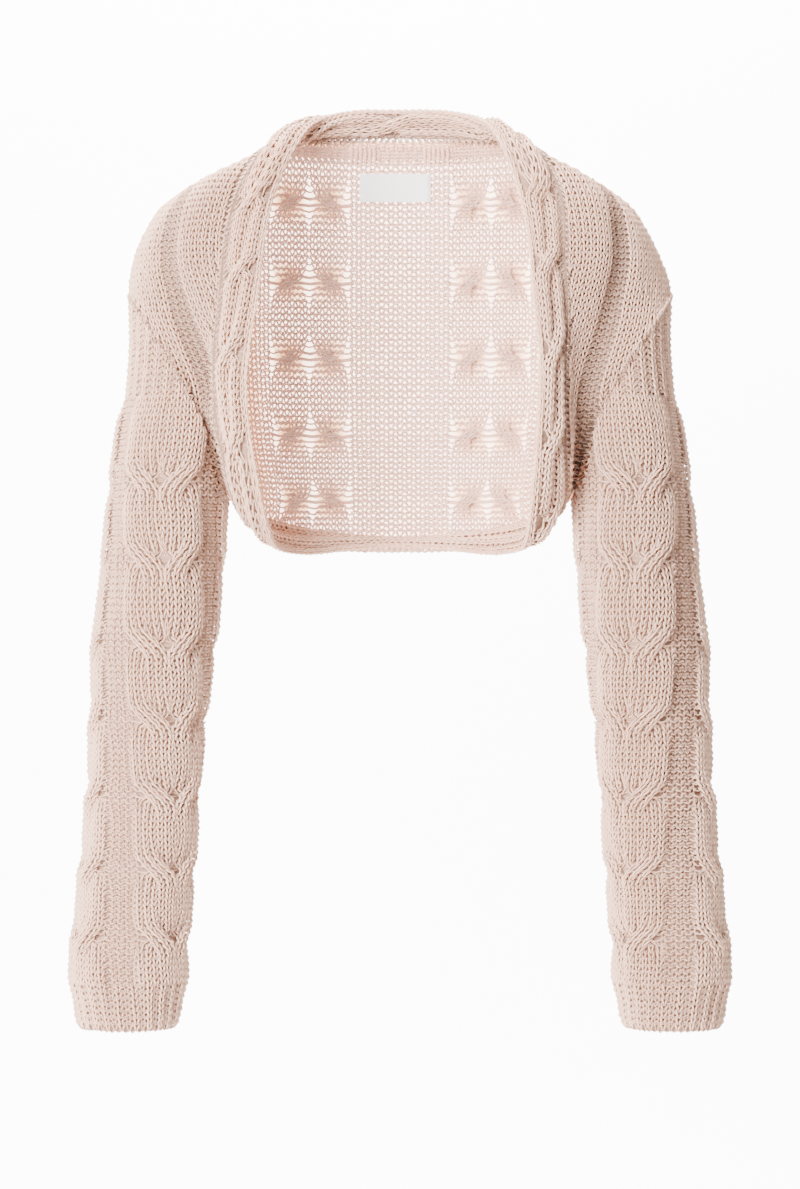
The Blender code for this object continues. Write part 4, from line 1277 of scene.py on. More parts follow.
def sheet_mesh(name, grid, shadow=None, dense=None):
    """A thin sheet over a grid of points, such as the loose fibres that bridge the holes."""
    rows, columns = grid.shape[:2]
    faces = [(r * columns + c, r * columns + c + 1, (r + 1) * columns + c + 1, (r + 1) * columns + c)
             for r in range(rows - 1) for c in range(columns - 1)]
    mesh = bpy.data.meshes.new(name)
    mesh.from_pydata((grid * MM).reshape(-1, 3).tolist(), [], faces)
    for label, values in ((SHADOW_NAME, shadow), (DENSE_NAME, dense)):
        if values is not None:
            layer = mesh.attributes.new(label, "FLOAT", "POINT")
            layer.data.foreach_set("value", values.astype(np.float32).ravel())
    work = bmesh.new()
    work.from_mesh(mesh)
    bmesh.ops.remove_doubles(work, verts=work.verts, dist=HAZE_MERGE)
    bmesh.ops.dissolve_degenerate(work, edges=work.edges, dist=HAZE_SHORTEST)
    work.to_mesh(mesh)
    work.free()
    mesh.polygons.foreach_set("use_smooth", [True] * len(mesh.polygons))
    return mesh


def matted_and_shaded_spots(chart, place, row):
    """1 in the middle of every crossing, down to 0 around it: where the haze lies higher and denser,
    and painted shade darkens haze and yarn.
    """
    spot = np.zeros(place.shape)
    for first, _ in chart.units:
        middle = first + (STRAND - 1) / 2.0
        for crossing in chart.crossings:
            across, along = (place - middle) / SPOT_WALES, (row - crossing) / SPOT_ROWS
            spot = np.maximum(spot, np.exp(-across ** 2 - along ** 2))
    return spot


def haze_piece(name, surface, chart, size, material, closed=False):
    """The haze between the limits of a surface."""
    rows = np.linspace(size.first, size.last, size.lines)
    row = np.repeat(rows[:, None], size.columns + 1, axis=1)
    low, high = surface.limits(row)
    if closed:
        high = np.minimum(high, low + chart.period)
    share = np.linspace(0.0, 1.0, size.columns + 1)[None, :]
    place = low + (high - low) * share
    points, normals = surface.at(place, row)
    relief = 0.0 if chart.relief is None else chart.relief(place, row)[..., None]
    spot = matted_and_shaded_spots(chart, place, row) if chart.matted else np.zeros(row.shape)
    grid = points + normals * (relief - chart.haze_depth + spot[..., None] * SPOT_LIFT)
    # Painted shade on the haze: darker behind knit and purl holes, under the back's neck seam and in
    # the crossing spots.
    kinds = np.array([chart.kind(np.round(line), course) for line, course in zip(place, rows)])
    shadow = np.where(kinds > 0.0, chart.shade.hollow, chart.shade.purl_hollow)
    side = ease((np.abs(place) - SIDE_FROM) / SIDE_FADE) * SIDE_DENSE
    top = ease((TOP_TO - row) / TOP_FADE) * TOP_DENSE
    dense = np.maximum.reduce([side, top, spot * SPOT_DENSE])
    shadow = np.maximum.reduce([shadow * chart.softness(row), top * chart.shade.top,
                                spot * SPOT_SHADE])
    return add_piece(name, sheet_mesh(name, grid, shadow, dense), material)


# ------------------------------------------------------------------ the pieces' charts

SLEEVE_REPEAT = 2 * STRAND + SLEEVE_GUTTER_WALES
SLEEVE_FIRST_COURSE = -27
SLEEVE_SPLIT = 32           # course where the upper half of a sleeve's mesh ends
SLEEVE_CLOSED_FROM = 4
SLEEVE_LAST_COURSE = 86
RIB_ABOVE = -12.3
CABLES_FROM = -13.3         # the cables rise from here
CABLES_FADE = 4.0
CUFF_FROM = 79.5
CUFF_FLAT = 84.1            # the cables have sunk into the cuff here
CUFF_FADE = 5.8
CUFF_PURL = -0.4            # depth of its purl wales, which hardly show
BACK_COURSES = (-7.5, -6.5, *range(-8, 55))
FRONT_COURSES = range(1, 55)
FRONT_RIDGE_WIDTH = 3.2
FRONT_GROOVE = 6.0
FRONT_GROOVE_WIDTH = 1.8
GROOVE_FROM = 6.0           # row under the shoulder where the groove starts
GROOVE_FADE = 8.0
FRONT_TOP_FADE = 4.0
FRONT_FOOT = 56.0
FRONT_FOOT_FADE = 8.0
ROPE_RELIEF = 2.2
ROPE_MIDDLE = 3.5           # wales from the band's edge
ROPE_HALF_WIDTH = 3.4
INNER_ROPE = 0.6            # relief of the band's inner face, as a share of the outer


def knit_where(mask):
    return np.where(mask, 1.0, -1.0)


def sleeve_kind(slots, course):
    if course < RIB_ABOVE:
        return knit_where(slots % 2 == 0)
    if course > CUFF_FROM:
        return np.where(slots % 2 == 0, 1.0, CUFF_PURL)
    return knit_where(slots % SLEEVE_REPEAT < 2 * STRAND)


def repeat_share(rows):
    return ((rows - FIRST_CROSSING) / CABLE_REPEAT) % 1.0


def sleeve_relief(place, row):
    within = (place + 0.5) % SLEEVE_REPEAT - 0.5
    across = np.clip((within - STRAND + 0.5) / (STRAND + 0.5), -1.0, 1.0)
    fade = ease((row - CABLES_FROM) / CABLES_FADE) * ease((CUFF_FLAT - row) / CUFF_FADE)
    return CABLE_RELIEF * horseshoe_relief(across, repeat_share(row)) * fade


def back_kind(slots, course):
    column = np.abs(slots)
    cable = (column >= BACK_CABLE_START) & (column < BACK_CABLE_START + 2 * STRAND)
    plain = column >= BACK_CABLE_START + 2 * STRAND + BACK_GUTTER_WALES
    return knit_where((column <= BACK_MIDDLE_WALES) | cable | plain)


def back_relief(place, row):
    middle = BACK_CABLE_START - 0.5 + STRAND
    across = np.clip((np.abs(place) - middle) / (STRAND + 0.5), -1.0, 1.0)
    return BACK_RELIEF * horseshoe_relief(across, repeat_share(row))


def front_kind(slots, course):
    purl, knit, gutter = FRONT_CHART
    edge = slots < purl
    groove = (slots >= purl + knit) & (slots < purl + knit + gutter)
    return knit_where(~(edge | groove))


def front_relief(place, row):
    purl, knit, gutter = FRONT_CHART
    ridge = np.exp(-((place - purl - (knit - 1) / 2.0) / FRONT_RIDGE_WIDTH) ** 2)
    groove = np.exp(-((place - purl - knit - (gutter - 1) / 2.0) / FRONT_GROOVE_WIDTH) ** 2)
    depth = FRONT_RELIEF * ridge - FRONT_GROOVE * groove * ease((row - GROOVE_FROM) / GROOVE_FADE)
    return depth * ease(row / FRONT_TOP_FADE) * ease((FRONT_FOOT - row) / FRONT_FOOT_FADE)


def band_kind(slots, course):
    return knit_where((slots > 0) & (slots < BAND_WALES - 1))


def band_relief(place, row):
    outer, inner = (np.sqrt(np.clip(1.0 - ((place - middle) / ROPE_HALF_WIDTH) ** 2, 0.0, 1.0))
                    for middle in (ROPE_MIDDLE, BAND_WALES - 1 - ROPE_MIDDLE))
    return ROPE_RELIEF * (outer + INNER_ROPE * inner) * (1.0 - hem_calm(row))


def sleeve_chart():
    units = []
    for n in range(SLEEVE_CABLES):
        units += [(n * SLEEVE_REPEAT, 1), (n * SLEEVE_REPEAT + STRAND, -1)]
    crossings = np.arange(len(SLEEVE_CROSSINGS) - 1) * CABLE_REPEAT + FIRST_CROSSING
    return Chart("sleeve", sleeve_kind, units, crossings, sleeve_relief, SLEEVE_WALES)


def back_chart():
    right = BACK_CABLE_START
    left = -BACK_CABLE_START - 2 * STRAND + 1
    units = [(right, 1), (right + STRAND, -1), (left, 1), (left + STRAND, -1)]
    crossings = np.arange(len(BACK_CROSSINGS) - 2) * CABLE_REPEAT + FIRST_CROSSING
    return Chart("back", back_kind, units, crossings, back_relief)


def front_chart():
    return Chart("front", front_kind, relief=front_relief)


def band_chart(rows):
    crossings = np.arange(-1, rows // CABLE_REPEAT + 1) * CABLE_REPEAT + FIRST_CROSSING
    crossings = crossings[(crossings < CALM_FROM) | (crossings > CALM_TO)]
    units = [(1, 1), (BAND_WALES - 1 - STRAND, -1)]
    return Chart("band", band_kind, units, crossings, band_relief)


# ------------------------------------------------------------------ materials


MIX_A, MIX_B, MIX_RESULT = 6, 7, 2      # the colour sockets of a mix node
HAZE_UNEVEN = 0.1           # how much the back's haze varies


def set_inputs(node, values):
    """Constant values on the node's own sockets."""
    for socket, value in values.items():
        node.inputs[socket].default_value = value


def add_node(tree, kind, values=None, **options):
    node = tree.nodes.new(kind)
    for option, value in options.items():
        setattr(node, option, value)
    set_inputs(node, values or {})
    return node


def link(tree, source, output, target, socket):
    tree.links.new(source.outputs[output], target.inputs[socket])


def wool_tone_and_shade_group():
    """Node group: yarn colour that drifts a little over the cloth and from fibre to fibre, then mixed
    toward the hollow colour by the shadow attribute, which is painted shade.
    """
    group = bpy.data.node_groups.get("wool_tone_and_shade")
    if group is not None:
        return group
    group = bpy.data.node_groups.new("wool_tone_and_shade", "ShaderNodeTree")
    for colour in ("Light", "Deep", "Hollow"):
        group.interface.new_socket(colour, in_out="INPUT", socket_type="NodeSocketColor")
    group.interface.new_socket("Color", in_out="OUTPUT", socket_type="NodeSocketColor")
    group.interface.new_socket("Fibres", in_out="OUTPUT", socket_type="NodeSocketFloat")
    start = add_node(group, "NodeGroupInput")
    end = add_node(group, "NodeGroupOutput")
    place = add_node(group, "ShaderNodeTexCoord")
    drift = add_node(group, "ShaderNodeTexNoise", {"Scale": 45.0, "Detail": 3.0})
    fibres = add_node(group, "ShaderNodeTexNoise", {"Scale": 1300.0, "Detail": 2.0})
    both = add_node(group, "ShaderNodeMath", {1: 0.45}, operation="MULTIPLY_ADD")
    mix, shaded = (add_node(group, "ShaderNodeMix", data_type="RGBA") for _ in range(2))
    shadow = add_node(group, "ShaderNodeAttribute", attribute_name=SHADOW_NAME)
    link(group, place, "Object", drift, "Vector")
    link(group, place, "Object", fibres, "Vector")
    link(group, fibres, "Fac", both, 0)
    link(group, drift, "Fac", both, 2)
    link(group, both, 0, mix, "Factor")
    link(group, start, "Light", mix, MIX_A)
    link(group, start, "Deep", mix, MIX_B)
    link(group, shadow, "Fac", shaded, "Factor")
    link(group, mix, MIX_RESULT, shaded, MIX_A)
    link(group, start, "Hollow", shaded, MIX_B)
    link(group, shaded, MIX_RESULT, end, "Color")
    link(group, fibres, "Fac", end, "Fibres")
    return group


def new_material(name):
    material = bpy.data.materials.new(name)
    material.use_nodes = True
    return material, material.node_tree, material.node_tree.nodes["Principled BSDF"]


def opaque(colour):
    return (*colour, 1.0)


def wool_material(name, settings, light, deep, roughness, specular):
    """Matt wool: its material, tree, shader and the node of its tone, which also carries the painted
    shade.
    """
    material, tree, shader = new_material(name)
    colours = {"Light": opaque(light), "Deep": opaque(deep),
               "Hollow": opaque(settings.hollow_shade_colour)}
    tone = add_node(tree, "ShaderNodeGroup", colours, node_tree=wool_tone_and_shade_group())
    link(tree, tone, "Color", shader, "Base Color")
    set_inputs(shader, {"Roughness": roughness, "Specular IOR Level": specular})
    return material, tree, shader, tone


def new_yarn_material(name, settings, light, deep):
    """Yarn with a bright edge of fibres."""
    material, tree, shader, tone = wool_material(name, settings, light, deep,
                                                 roughness=0.95, specular=0.15)
    bump = add_node(tree, "ShaderNodeBump", {"Strength": 0.35, "Distance": 0.0004})
    link(tree, tone, "Fibres", bump, "Height")
    link(tree, bump, "Normal", shader, "Normal")
    set_inputs(shader, {"Sheen Weight": 0.2, "Sheen Roughness": 0.6,
                        "Sheen Tint": opaque(settings.light_colour)})
    return material, shader


def yarn_material(settings):
    """The wool of all the pieces but the back."""
    material = bpy.data.materials.get("blush_wool")
    if material is None:
        material, _ = new_yarn_material("blush_wool", settings, settings.light_colour,
                                        settings.deep_colour)
    return material


def back_yarn_material(settings):
    """The same wool in darker, painted-shade colours, where light from behind glows through it:
    subsurface scattering, and a painted glow of emission.
    """
    light = settings.back_shaded_light_colour
    material, shader = new_yarn_material("blush_back_wool", settings, light,
                                         settings.back_shaded_deep_colour)
    set_inputs(shader, {"Subsurface Weight": settings.back_glow,
                        "Subsurface Radius": (1.0, 0.85, 0.75), "Subsurface Scale": 0.004,
                        "Emission Color": opaque(light), "Emission Strength": settings.yarn_glow})
    return material


def shaded_haze_material(settings):
    """Matted fibres of the same wool that close the cloth behind its stitches, mostly darkened toward
    the hollow colour by painted shade, so that the holes look shadowed.
    """
    material = bpy.data.materials.get("blush_shaded_haze")
    if material is None:
        material, *_ = wool_material("blush_shaded_haze", settings, settings.light_colour,
                                     settings.deep_colour, roughness=1.0, specular=0.0)
    return material


def thin_haze_painted_glow_material(settings):
    """Wisps that pass most light, thicker at the sides, the top and in the matted spots; a painted
    glow on their inner side stands in for light from behind, and fades under the painted shade of the
    spots and the top.
    """
    material, tree, shader, tone = wool_material("blush_thin_haze_painted_glow", settings, settings.light_colour,
                                                 settings.deep_colour, roughness=1.0,
                                                 specular=0.0)
    thin = add_node(tree, "ShaderNodeMapRange", {
        "From Min": 0.38, "From Max": 0.68,
        "To Min": settings.back_haze * (1.0 - HAZE_UNEVEN),
        "To Max": settings.back_haze * (1.0 + HAZE_UNEVEN)})
    dense = add_node(tree, "ShaderNodeAttribute", attribute_name=DENSE_NAME)
    both = add_node(tree, "ShaderNodeMath", use_clamp=True)
    link(tree, tone, "Fibres", thin, "Value")
    link(tree, thin, "Result", both, 0)
    link(tree, dense, "Fac", both, 1)
    link(tree, both, "Value", shader, "Alpha")
    # Painted light: emission on the inner side only, standing in for light from behind; it fades
    # where the painted shade of the spots and the top is strong.
    shadow = add_node(tree, "ShaderNodeAttribute", attribute_name=SHADOW_NAME)
    glow = add_node(tree, "ShaderNodeMapRange", {
        "From Min": SHADES["back"].top * GLOW_FADES_FROM, "From Max": SPOT_SHADE,
        "To Min": settings.haze_glow, "To Max": settings.haze_glow * SPOT_GLOW})
    face = add_node(tree, "ShaderNodeNewGeometry")
    inside = add_node(tree, "ShaderNodeMath", operation="MULTIPLY")
    link(tree, shadow, "Fac", glow, "Value")
    link(tree, glow, "Result", inside, 0)
    link(tree, face, "Backfacing", inside, 1)
    link(tree, inside, "Value", shader, "Emission Strength")
    set_inputs(shader, {"Emission Color": opaque(settings.haze_glow_colour)})
    return material


def label_material(settings):
    """Woven tape: fine threads both ways, with a faint painted glow of emission that stands in for
    the light that comes through the cloth.
    """
    material, tree, shader = new_material("label_tape")
    place = add_node(tree, "ShaderNodeTexCoord")
    weft, warp = (add_node(tree, "ShaderNodeTexWave", {"Scale": LABEL_THREADS, "Distortion": 0.8},
                           bands_direction=way) for way in "ZX")
    cloud = add_node(tree, "ShaderNodeTexNoise", {"Scale": 130.0})
    for texture in (weft, warp, cloud):
        link(tree, place, "Object", texture, "Vector")
    threads, shade = (add_node(tree, "ShaderNodeMath", operation="MULTIPLY") for _ in range(2))
    link(tree, weft, "Fac", threads, 0)
    link(tree, warp, "Fac", threads, 1)
    link(tree, threads, "Value", shade, 0)
    link(tree, cloud, "Fac", shade, 1)
    colours = {MIX_A: opaque(settings.label_shade_colour), MIX_B: opaque(settings.label_colour)}
    tone = add_node(tree, "ShaderNodeMix", colours, data_type="RGBA")
    link(tree, shade, 0, tone, "Factor")
    link(tree, tone, MIX_RESULT, shader, "Base Color")
    bump = add_node(tree, "ShaderNodeBump", {"Strength": 0.3, "Distance": 0.0001})
    link(tree, threads, "Value", bump, "Height")
    link(tree, bump, "Normal", shader, "Normal")
    set_inputs(shader, {"Roughness": 0.55, "Emission Color": opaque(settings.label_colour),
                        "Emission Strength": settings.label_glow})
    return material


def studio_material(name, colour, glow):
    """Matt white that is lit by itself."""
    material, _, shader = new_material(name)
    set_inputs(shader, {"Base Color": opaque(colour), "Roughness": 1.0,
                        "Emission Color": opaque(colour), "Emission Strength": glow})
    return material


# ------------------------------------------------------------------ settings


COLOUR = {"subtype": "COLOR", "min": 0.0, "max": 1.0}
SHARE = {"subtype": "FACTOR", "min": 0.0, "max": 1.0}
POWER = {"subtype": "POWER", "min": 0.0}


class ShrugSettings(bpy.types.PropertyGroup):
    """Colours and sizes of the yarn and the label."""

    light_colour: bpy.props.FloatVectorProperty(
        name="Light wool", description="Colour of the yarn where it is palest",
        default=(0.91, 0.61, 0.46), **COLOUR)
    deep_colour: bpy.props.FloatVectorProperty(
        name="Deep wool", description="Colour of the yarn where it is fullest",
        default=(0.86, 0.53, 0.38), **COLOUR)
    # Painted shade: the dark colour that yarn and haze are mixed toward, by the shadow attribute,
    # where they lie in shade between the stitches.
    hollow_shade_colour: bpy.props.FloatVectorProperty(
        name="Hollows", description="Colour of the fibres deep between the stitches",
        default=(0.27, 0.165, 0.12), **COLOUR)
    # Painted shade: a darker copy of the wool's colours for the back, whose inside lies in shade.
    back_shaded_light_colour: bpy.props.FloatVectorProperty(
        name="Light wool inside", description="Palest colour of the back, seen from inside",
        default=(0.84, 0.54, 0.43), **COLOUR)
    back_shaded_deep_colour: bpy.props.FloatVectorProperty(
        name="Deep wool inside", description="Fullest colour of the back, seen from inside",
        default=(0.78, 0.46, 0.35), **COLOUR)
    back_haze: bpy.props.FloatProperty(
        name="Haze of the back", description="How much light the fibres in the back's holes stop",
        default=0.68, **SHARE)
    # Painted light: emission on the back's yarn that stands in for light from behind.
    yarn_glow: bpy.props.FloatProperty(
        name="Light in the yarn", description="Light from behind that the back's yarn scatters",
        default=0.3, min=0.0)
    # Painted light: emission on the inner side of the back's haze that stands in for light from
    # behind coming through it.
    haze_glow: bpy.props.FloatProperty(
        name="Light in the haze", description="Light from behind that the back's haze scatters",
        default=3.8, min=0.0)
    # Colour of that painted light.
    haze_glow_colour: bpy.props.FloatVectorProperty(
        name="Scattered light", description="Colour of the light that the haze scatters",
        default=(1.0, 0.60, 0.30), **COLOUR)
    back_glow: bpy.props.FloatProperty(
        name="Glow of the back", description="How far light from behind glows through its yarn",
        default=0.2, **SHARE)
    label_colour: bpy.props.FloatVectorProperty(
        name="Label", description="Colour of the bare neck label",
        default=(0.98, 0.975, 0.96), **COLOUR)
    label_shade_colour: bpy.props.FloatVectorProperty(
        name="Label shade", description="Colour between the label's threads",
        default=(0.91, 0.91, 0.90), **COLOUR)
    # Painted light: emission on the label that stands in for light coming through the cloth.
    label_glow: bpy.props.FloatProperty(
        name="Label light", description="Light that reaches the label through the cloth",
        default=0.14, min=0.0)
    seed: bpy.props.IntProperty(
        name="Seed", description="Starting number of the yarn's small unevenness", default=11)


class StageSettings(bpy.types.PropertyGroup):
    """The backdrop and the light."""

    backdrop_colour: bpy.props.FloatVectorProperty(
        name="Backdrop", description="Colour of the floor and the backdrop",
        default=(0.95, 0.95, 0.95), **COLOUR)
    backdrop_glow: bpy.props.FloatProperty(
        name="Backdrop glow", description="How brightly the backdrop itself is lit",
        default=0.6, min=0.0)
    screen_glow: bpy.props.FloatProperty(
        name="Screen glow", description="How bright the lit screen straight behind the piece is",
        default=7.5, min=0.0)
    key_power: bpy.props.FloatProperty(
        name="Key light", description="Power of the large light beside the camera",
        default=232.0, **POWER)
    fill_power: bpy.props.FloatProperty(
        name="Fill light", description="Power of the light on the other side",
        default=8.0, **POWER)
    backdrop_power: bpy.props.FloatProperty(
        name="Backdrop light", description="Power of the light over the backdrop",
        default=280.0, **POWER)
    world_strength: bpy.props.FloatProperty(
        name="Ambient light", description="Strength of the even light from all sides",
        default=0.45, min=0.0)


# ------------------------------------------------------------------ operators


BACK_SEED = 3               # added to the seed; a sleeve adds its side, 1 or -1
FRONT_SEED = 5              # and its side
BAND_SEED = 9


def new_random(context, offset):
    return np.random.default_rng(context.scene.shrug.seed + offset)


class SHRUG_OT_sleeves(bpy.types.Operator):
    """Knits both sleeves: horseshoe cables between purl gutters, and ribbed cuffs."""

    bl_idname = "shrug.sleeves"
    bl_label = "Sleeves"

    def execute(self, context):
        settings = context.scene.shrug
        wool, haze = yarn_material(settings), shaded_haze_material(settings)
        chart = sleeve_chart()
        for side, name in ((-1, "sleeve_right"), (1, "sleeve_left")):
            surface = make_sleeve_surface(side)
            random = new_random(context, side)
            for half, courses in (("upper", range(SLEEVE_FIRST_COURSE, SLEEVE_SPLIT)),
                                  ("lower", range(SLEEVE_SPLIT, SLEEVE_LAST_COURSE + 1))):
                strands = knit_piece(surface, chart, courses, random, SLEEVE_CLOSED_FROM)
                yarn_piece(f"{name}_{half}_yarn", strands, wool)
            yarn_piece(f"{name}_seam_yarn", armhole_seam(side, random), wool)
            cloth = haze_piece(f"{name}_haze", surface, chart, SLEEVE_HAZE, haze, closed=True)
            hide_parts(name)
        return {"FINISHED"}


class SHRUG_OT_back(bpy.types.Operator):
    """Knits the back with its two horseshoe cables."""

    bl_idname = "shrug.back"
    bl_label = "Back"

    def execute(self, context):
        settings = context.scene.shrug
        surface, chart = make_back_surface(), back_chart()
        random = new_random(context, BACK_SEED)
        strands = knit_piece(surface, chart, BACK_COURSES, random)
        yarn = yarn_piece("back_yarn", strands, back_yarn_material(settings))
        cloth = haze_piece("back_haze", surface, chart, BACK_HAZE, thin_haze_painted_glow_material(settings))
        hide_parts("back")
        return {"FINISHED"}


class SHRUG_OT_fronts(bpy.types.Operator):
    """Knits the two narrow fronts."""

    bl_idname = "shrug.fronts"
    bl_label = "Fronts"

    def execute(self, context):
        settings = context.scene.shrug
        chart = front_chart()
        for side, name in ((-1, "front_right"), (1, "front_left")):
            surface = make_front_surface(side)
            random = new_random(context, FRONT_SEED + side)
            strands = knit_piece(surface, chart, FRONT_COURSES, random)
            yarn = yarn_piece(f"{name}_yarn", strands, yarn_material(settings))
            haze = shaded_haze_material(settings)
            cloth = haze_piece(f"{name}_haze", surface, chart, FRONT_HAZE, haze)
            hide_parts(name)
        return {"FINISHED"}


class SHRUG_OT_band(bpy.types.Operator):
    """Knits the doubled band with its rope cable round the neck, fronts and hem."""

    bl_idname = "shrug.band"
    bl_label = "Band"

    def execute(self, context):
        settings = context.scene.shrug
        surface, total = make_band_surface()
        chart = band_chart(total)
        random = new_random(context, BAND_SEED)
        middle = total // 2
        for half, courses in (("first", range(0, middle)), ("second", range(middle, total))):
            strands = knit_piece(surface, chart, courses, random)
            yarn_piece(f"band_{half}_yarn", strands, yarn_material(settings))
        seams = band_seams(surface, total, random)
        yarn_piece("band_seam_yarn", seams, yarn_material(settings))
        size = Haze(0.0, total, total + 1, BAND_HAZE_COLUMNS)
        cloth = haze_piece("band_haze", surface, chart, size, shaded_haze_material(settings))
        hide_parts("band")
        return {"FINISHED"}


LABEL_SIZE = (61.0, 23.0)
LABEL_MIDDLE = -4.0
LABEL_TOP = -1.5
LABEL_DEPTH = 6.6
LABEL_THREADS = 600.0       # scale of the bands that stand for its threads
LABEL_TURN = 1.6            # millimetres at each end where the tape turns back to the cloth
LABEL_COLUMNS = 27
LABEL_LINES = 7
LABEL_HEM = 2.6             # from the ends to the stitches that hold them
LABEL_REACH = 20.0          # wales of the back that it lies on, from the middle
THREAD = 0.17
THREAD_PITCH = 1.9
STITCH_LENGTH = 0.7         # of the pitch
STITCH_RISE = (0.0, 1.3, 1.3, 0.0)      # of the thread, along a stitch


def label_points(surface, x, z, depth):
    """Points inside the back at these widths and heights, this deep under its outer surface."""
    reach = steps_between(0.0, LABEL_REACH)
    places = np.sign(x) * np.interp(np.abs(x), back_arcs(reach), reach)
    crossings = (np.arange(len(BACK_CROSSINGS)) - 1.0) * CABLE_REPEAT
    rows = np.interp(-z, -np.array(BACK_CROSSINGS), crossings)
    points, normals = surface.at(places, rows)
    return points - normals * depth[..., None], normals


class SHRUG_OT_label(bpy.types.Operator):
    """Sews the bare tape label inside the back of the neck."""

    bl_idname = "shrug.label"
    bl_label = "Label"

    def execute(self, context):
        settings = context.scene.shrug
        surface = make_back_surface()
        width, height = LABEL_SIZE
        across = np.linspace(-width / 2.0, width / 2.0, LABEL_COLUMNS)
        down = np.linspace(0.0, -height, LABEL_LINES)
        away = np.repeat(across[None, :], LABEL_LINES, axis=0)
        z = LABEL_TOP + np.repeat(down[:, None], LABEL_COLUMNS, axis=1)
        turned = ease(1.0 - (width / 2.0 - np.abs(away)) / LABEL_TURN) * LABEL_TURN
        points, _ = label_points(surface, away + LABEL_MIDDLE, z, LABEL_DEPTH - turned)
        tape = label_material(settings)
        piece = add_piece("label_tape", sheet_mesh("label_tape", points), tape)
        strands = []
        marks = np.arange(THREAD_PITCH / 2.0, height - THREAD_PITCH, THREAD_PITCH)
        rise = np.array(STITCH_RISE) * THREAD
        thread, shade = np.full(len(rise), THREAD), np.zeros(len(rise))
        for end in (-1.0, 1.0):
            x = np.full(len(rise), LABEL_MIDDLE + end * (width / 2.0 - LABEL_HEM))
            for mark in marks:
                line = LABEL_TOP - mark - np.linspace(0.0, THREAD_PITCH * STITCH_LENGTH, len(rise))
                points, normals = label_points(surface, x, line, LABEL_DEPTH + rise)
                strands.append(Strand(points, -normals, thread, shade, False))
        stitches = add_piece("label_stitches", strand_mesh("label_stitches", strands), tape)
        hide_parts("label")
        return {"FINISHED"}


CAMERA_DISTANCE = 3.0
CAMERA_HEIGHT = -0.3563
CAMERA_LENS = 110.77
CAMERA_SENSOR = 36.0
LIGHTS = (                  # name, place, target and size in metres: key, fill, backdrop
    ("key_light", (-1.1, -1.8, 0.15), (0.0, 0.0, -0.35), 1.5),
    ("fill_light", (2.0, -2.4, 0.1), (0.0, 0.0, -0.35), 2.2),
    ("backdrop_light", (0.0, 0.75, 1.6), (0.0, 1.7, -0.4), 2.0),
)
COVE_FRONT = -0.8           # where the floor starts
COVE_FLOOR = -1.25
COVE_WALL = 3.7
COVE_TURN = 0.6
COVE_TOP = 5.0
COVE_HALF_WIDTH = 5.5
COVE_STEPS = 12
SCREEN_HALF_WIDTH = 0.62
SCREEN_TOP = 0.5
SCREEN_FOOT = -1.2
SCREEN_PLACE = 1.6


def aim(thing, target):
    direction = Vector(target) - thing.location
    thing.rotation_euler = direction.to_track_quat("-Z", "Y").to_euler()


def area_light(name, place, target, size, power):
    light = bpy.data.lights.new(name, "AREA")
    light.shape = "DISK"
    light.size = size
    light.energy = power
    lamp = bpy.data.objects.new(name, light)
    lamp.location = place
    aim(lamp, target)
    bpy.context.scene.collection.objects.link(lamp)


def cove_mesh():
    """A floor that turns up into the backdrop."""
    outline = [(COVE_FRONT, COVE_FLOOR)]
    for angle in np.linspace(0.0, math.pi / 2.0, COVE_STEPS + 1):
        outline.append((COVE_WALL - COVE_TURN + COVE_TURN * math.sin(angle),
                        COVE_FLOOR + COVE_TURN - COVE_TURN * math.cos(angle)))
    outline.append((COVE_WALL, COVE_TOP))
    points = [(x, y, z) for y, z in outline for x in (-COVE_HALF_WIDTH, COVE_HALF_WIDTH)]
    faces = [(2 * n, 2 * n + 1, 2 * n + 3, 2 * n + 2) for n in range(len(outline) - 1)]
    mesh = bpy.data.meshes.new("studio_cove")
    mesh.from_pydata(points, [], faces)
    mesh.polygons.foreach_set("use_smooth", [True] * len(faces))
    return mesh


def screen_mesh():
    """An upright lit screen before the backdrop, as wide as the camera sees."""
    mesh = bpy.data.meshes.new("studio_screen")
    points = [(x, SCREEN_PLACE, z) for z in (SCREEN_FOOT, SCREEN_TOP)
              for x in (-SCREEN_HALF_WIDTH, SCREEN_HALF_WIDTH)]
    mesh.from_pydata(points, [], [(0, 1, 3, 2)])
    return mesh


def add_studio(name, mesh, material):
    thing = bpy.data.objects.new(name, mesh)
    bpy.context.scene.collection.objects.link(thing)
    mesh.materials.append(material)
    return thing


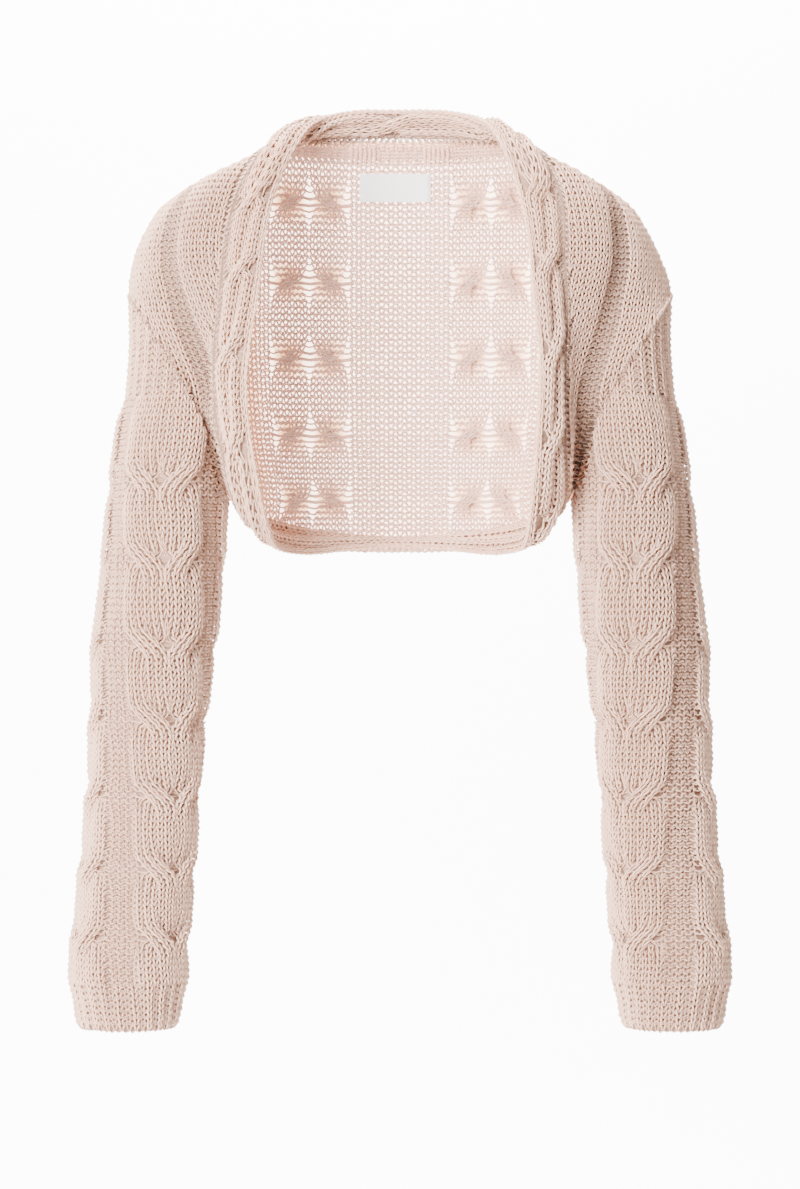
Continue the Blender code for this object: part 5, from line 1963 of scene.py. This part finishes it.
class SHRUG_OT_stage(bpy.types.Operator):
    """Sets up the pale cove, the soft lights and the camera."""

    bl_idname = "shrug.stage"
    bl_label = "Stage"

    def execute(self, context):
        settings = context.scene.shrug_stage
        colour = settings.backdrop_colour
        white = studio_material("studio_white", colour, settings.backdrop_glow)
        cove = add_studio("studio_cove", cove_mesh(), white)
        lit = studio_material("studio_screen", colour, settings.screen_glow)
        screen = add_studio("studio_screen", screen_mesh(), lit)
        powers = (settings.key_power, settings.fill_power, settings.backdrop_power)
        for light, power in zip(LIGHTS, powers):
            area_light(*light, power)
        world = bpy.data.worlds.new("studio_world")
        world.use_nodes = True
        background = world.node_tree.nodes["Background"]
        background.inputs["Color"].default_value = (1.0, 1.0, 1.0, 1.0)
        background.inputs["Strength"].default_value = settings.world_strength
        context.scene.world = world
        camera = bpy.data.objects.new("camera", bpy.data.cameras.new("camera"))
        camera.data.lens = CAMERA_LENS
        camera.data.sensor_width = CAMERA_SENSOR
        camera.location = (0.0, -CAMERA_DISTANCE, CAMERA_HEIGHT)
        camera.rotation_euler = (math.radians(90.0), 0.0, 0.0)
        context.scene.collection.objects.link(camera)
        context.scene.camera = camera
        return {"FINISHED"}


class SHRUG_PT_panel(bpy.types.Panel):
    """Lists the shrug's pieces and settings."""

    bl_idname = "SHRUG_PT_panel"
    bl_label = "Knitted shrug"
    bl_space_type = "VIEW_3D"
    bl_region_type = "UI"
    bl_category = "Shrug"

    def draw(self, context):
        layout = self.layout
        for group in (context.scene.shrug, context.scene.shrug_stage):
            for name in group.bl_rna.properties.keys():
                if name not in ("rna_type", "name"):
                    layout.prop(group, name)
        for operator in OPERATORS:
            layout.operator(operator.bl_idname)


OPERATORS = (SHRUG_OT_sleeves, SHRUG_OT_back, SHRUG_OT_fronts, SHRUG_OT_band, SHRUG_OT_label,
             SHRUG_OT_stage)
CLASSES = (ShrugSettings, StageSettings, *OPERATORS, SHRUG_PT_panel)


def register():
    for cls in CLASSES:
        bpy.utils.register_class(cls)
    bpy.types.Scene.shrug = bpy.props.PointerProperty(type=ShrugSettings)
    bpy.types.Scene.shrug_stage = bpy.props.PointerProperty(type=StageSettings)


def unregister():
    del bpy.types.Scene.shrug_stage
    del bpy.types.Scene.shrug
    for cls in reversed(CLASSES):
        bpy.utils.unregister_class(cls)


def main():
    register()
    bpy.ops.shrug.sleeves()
    bpy.ops.shrug.back()
    bpy.ops.shrug.fronts()
    bpy.ops.shrug.band()
    bpy.ops.shrug.label()
    bpy.ops.shrug.stage()


if __name__ == "__main__":
    main()
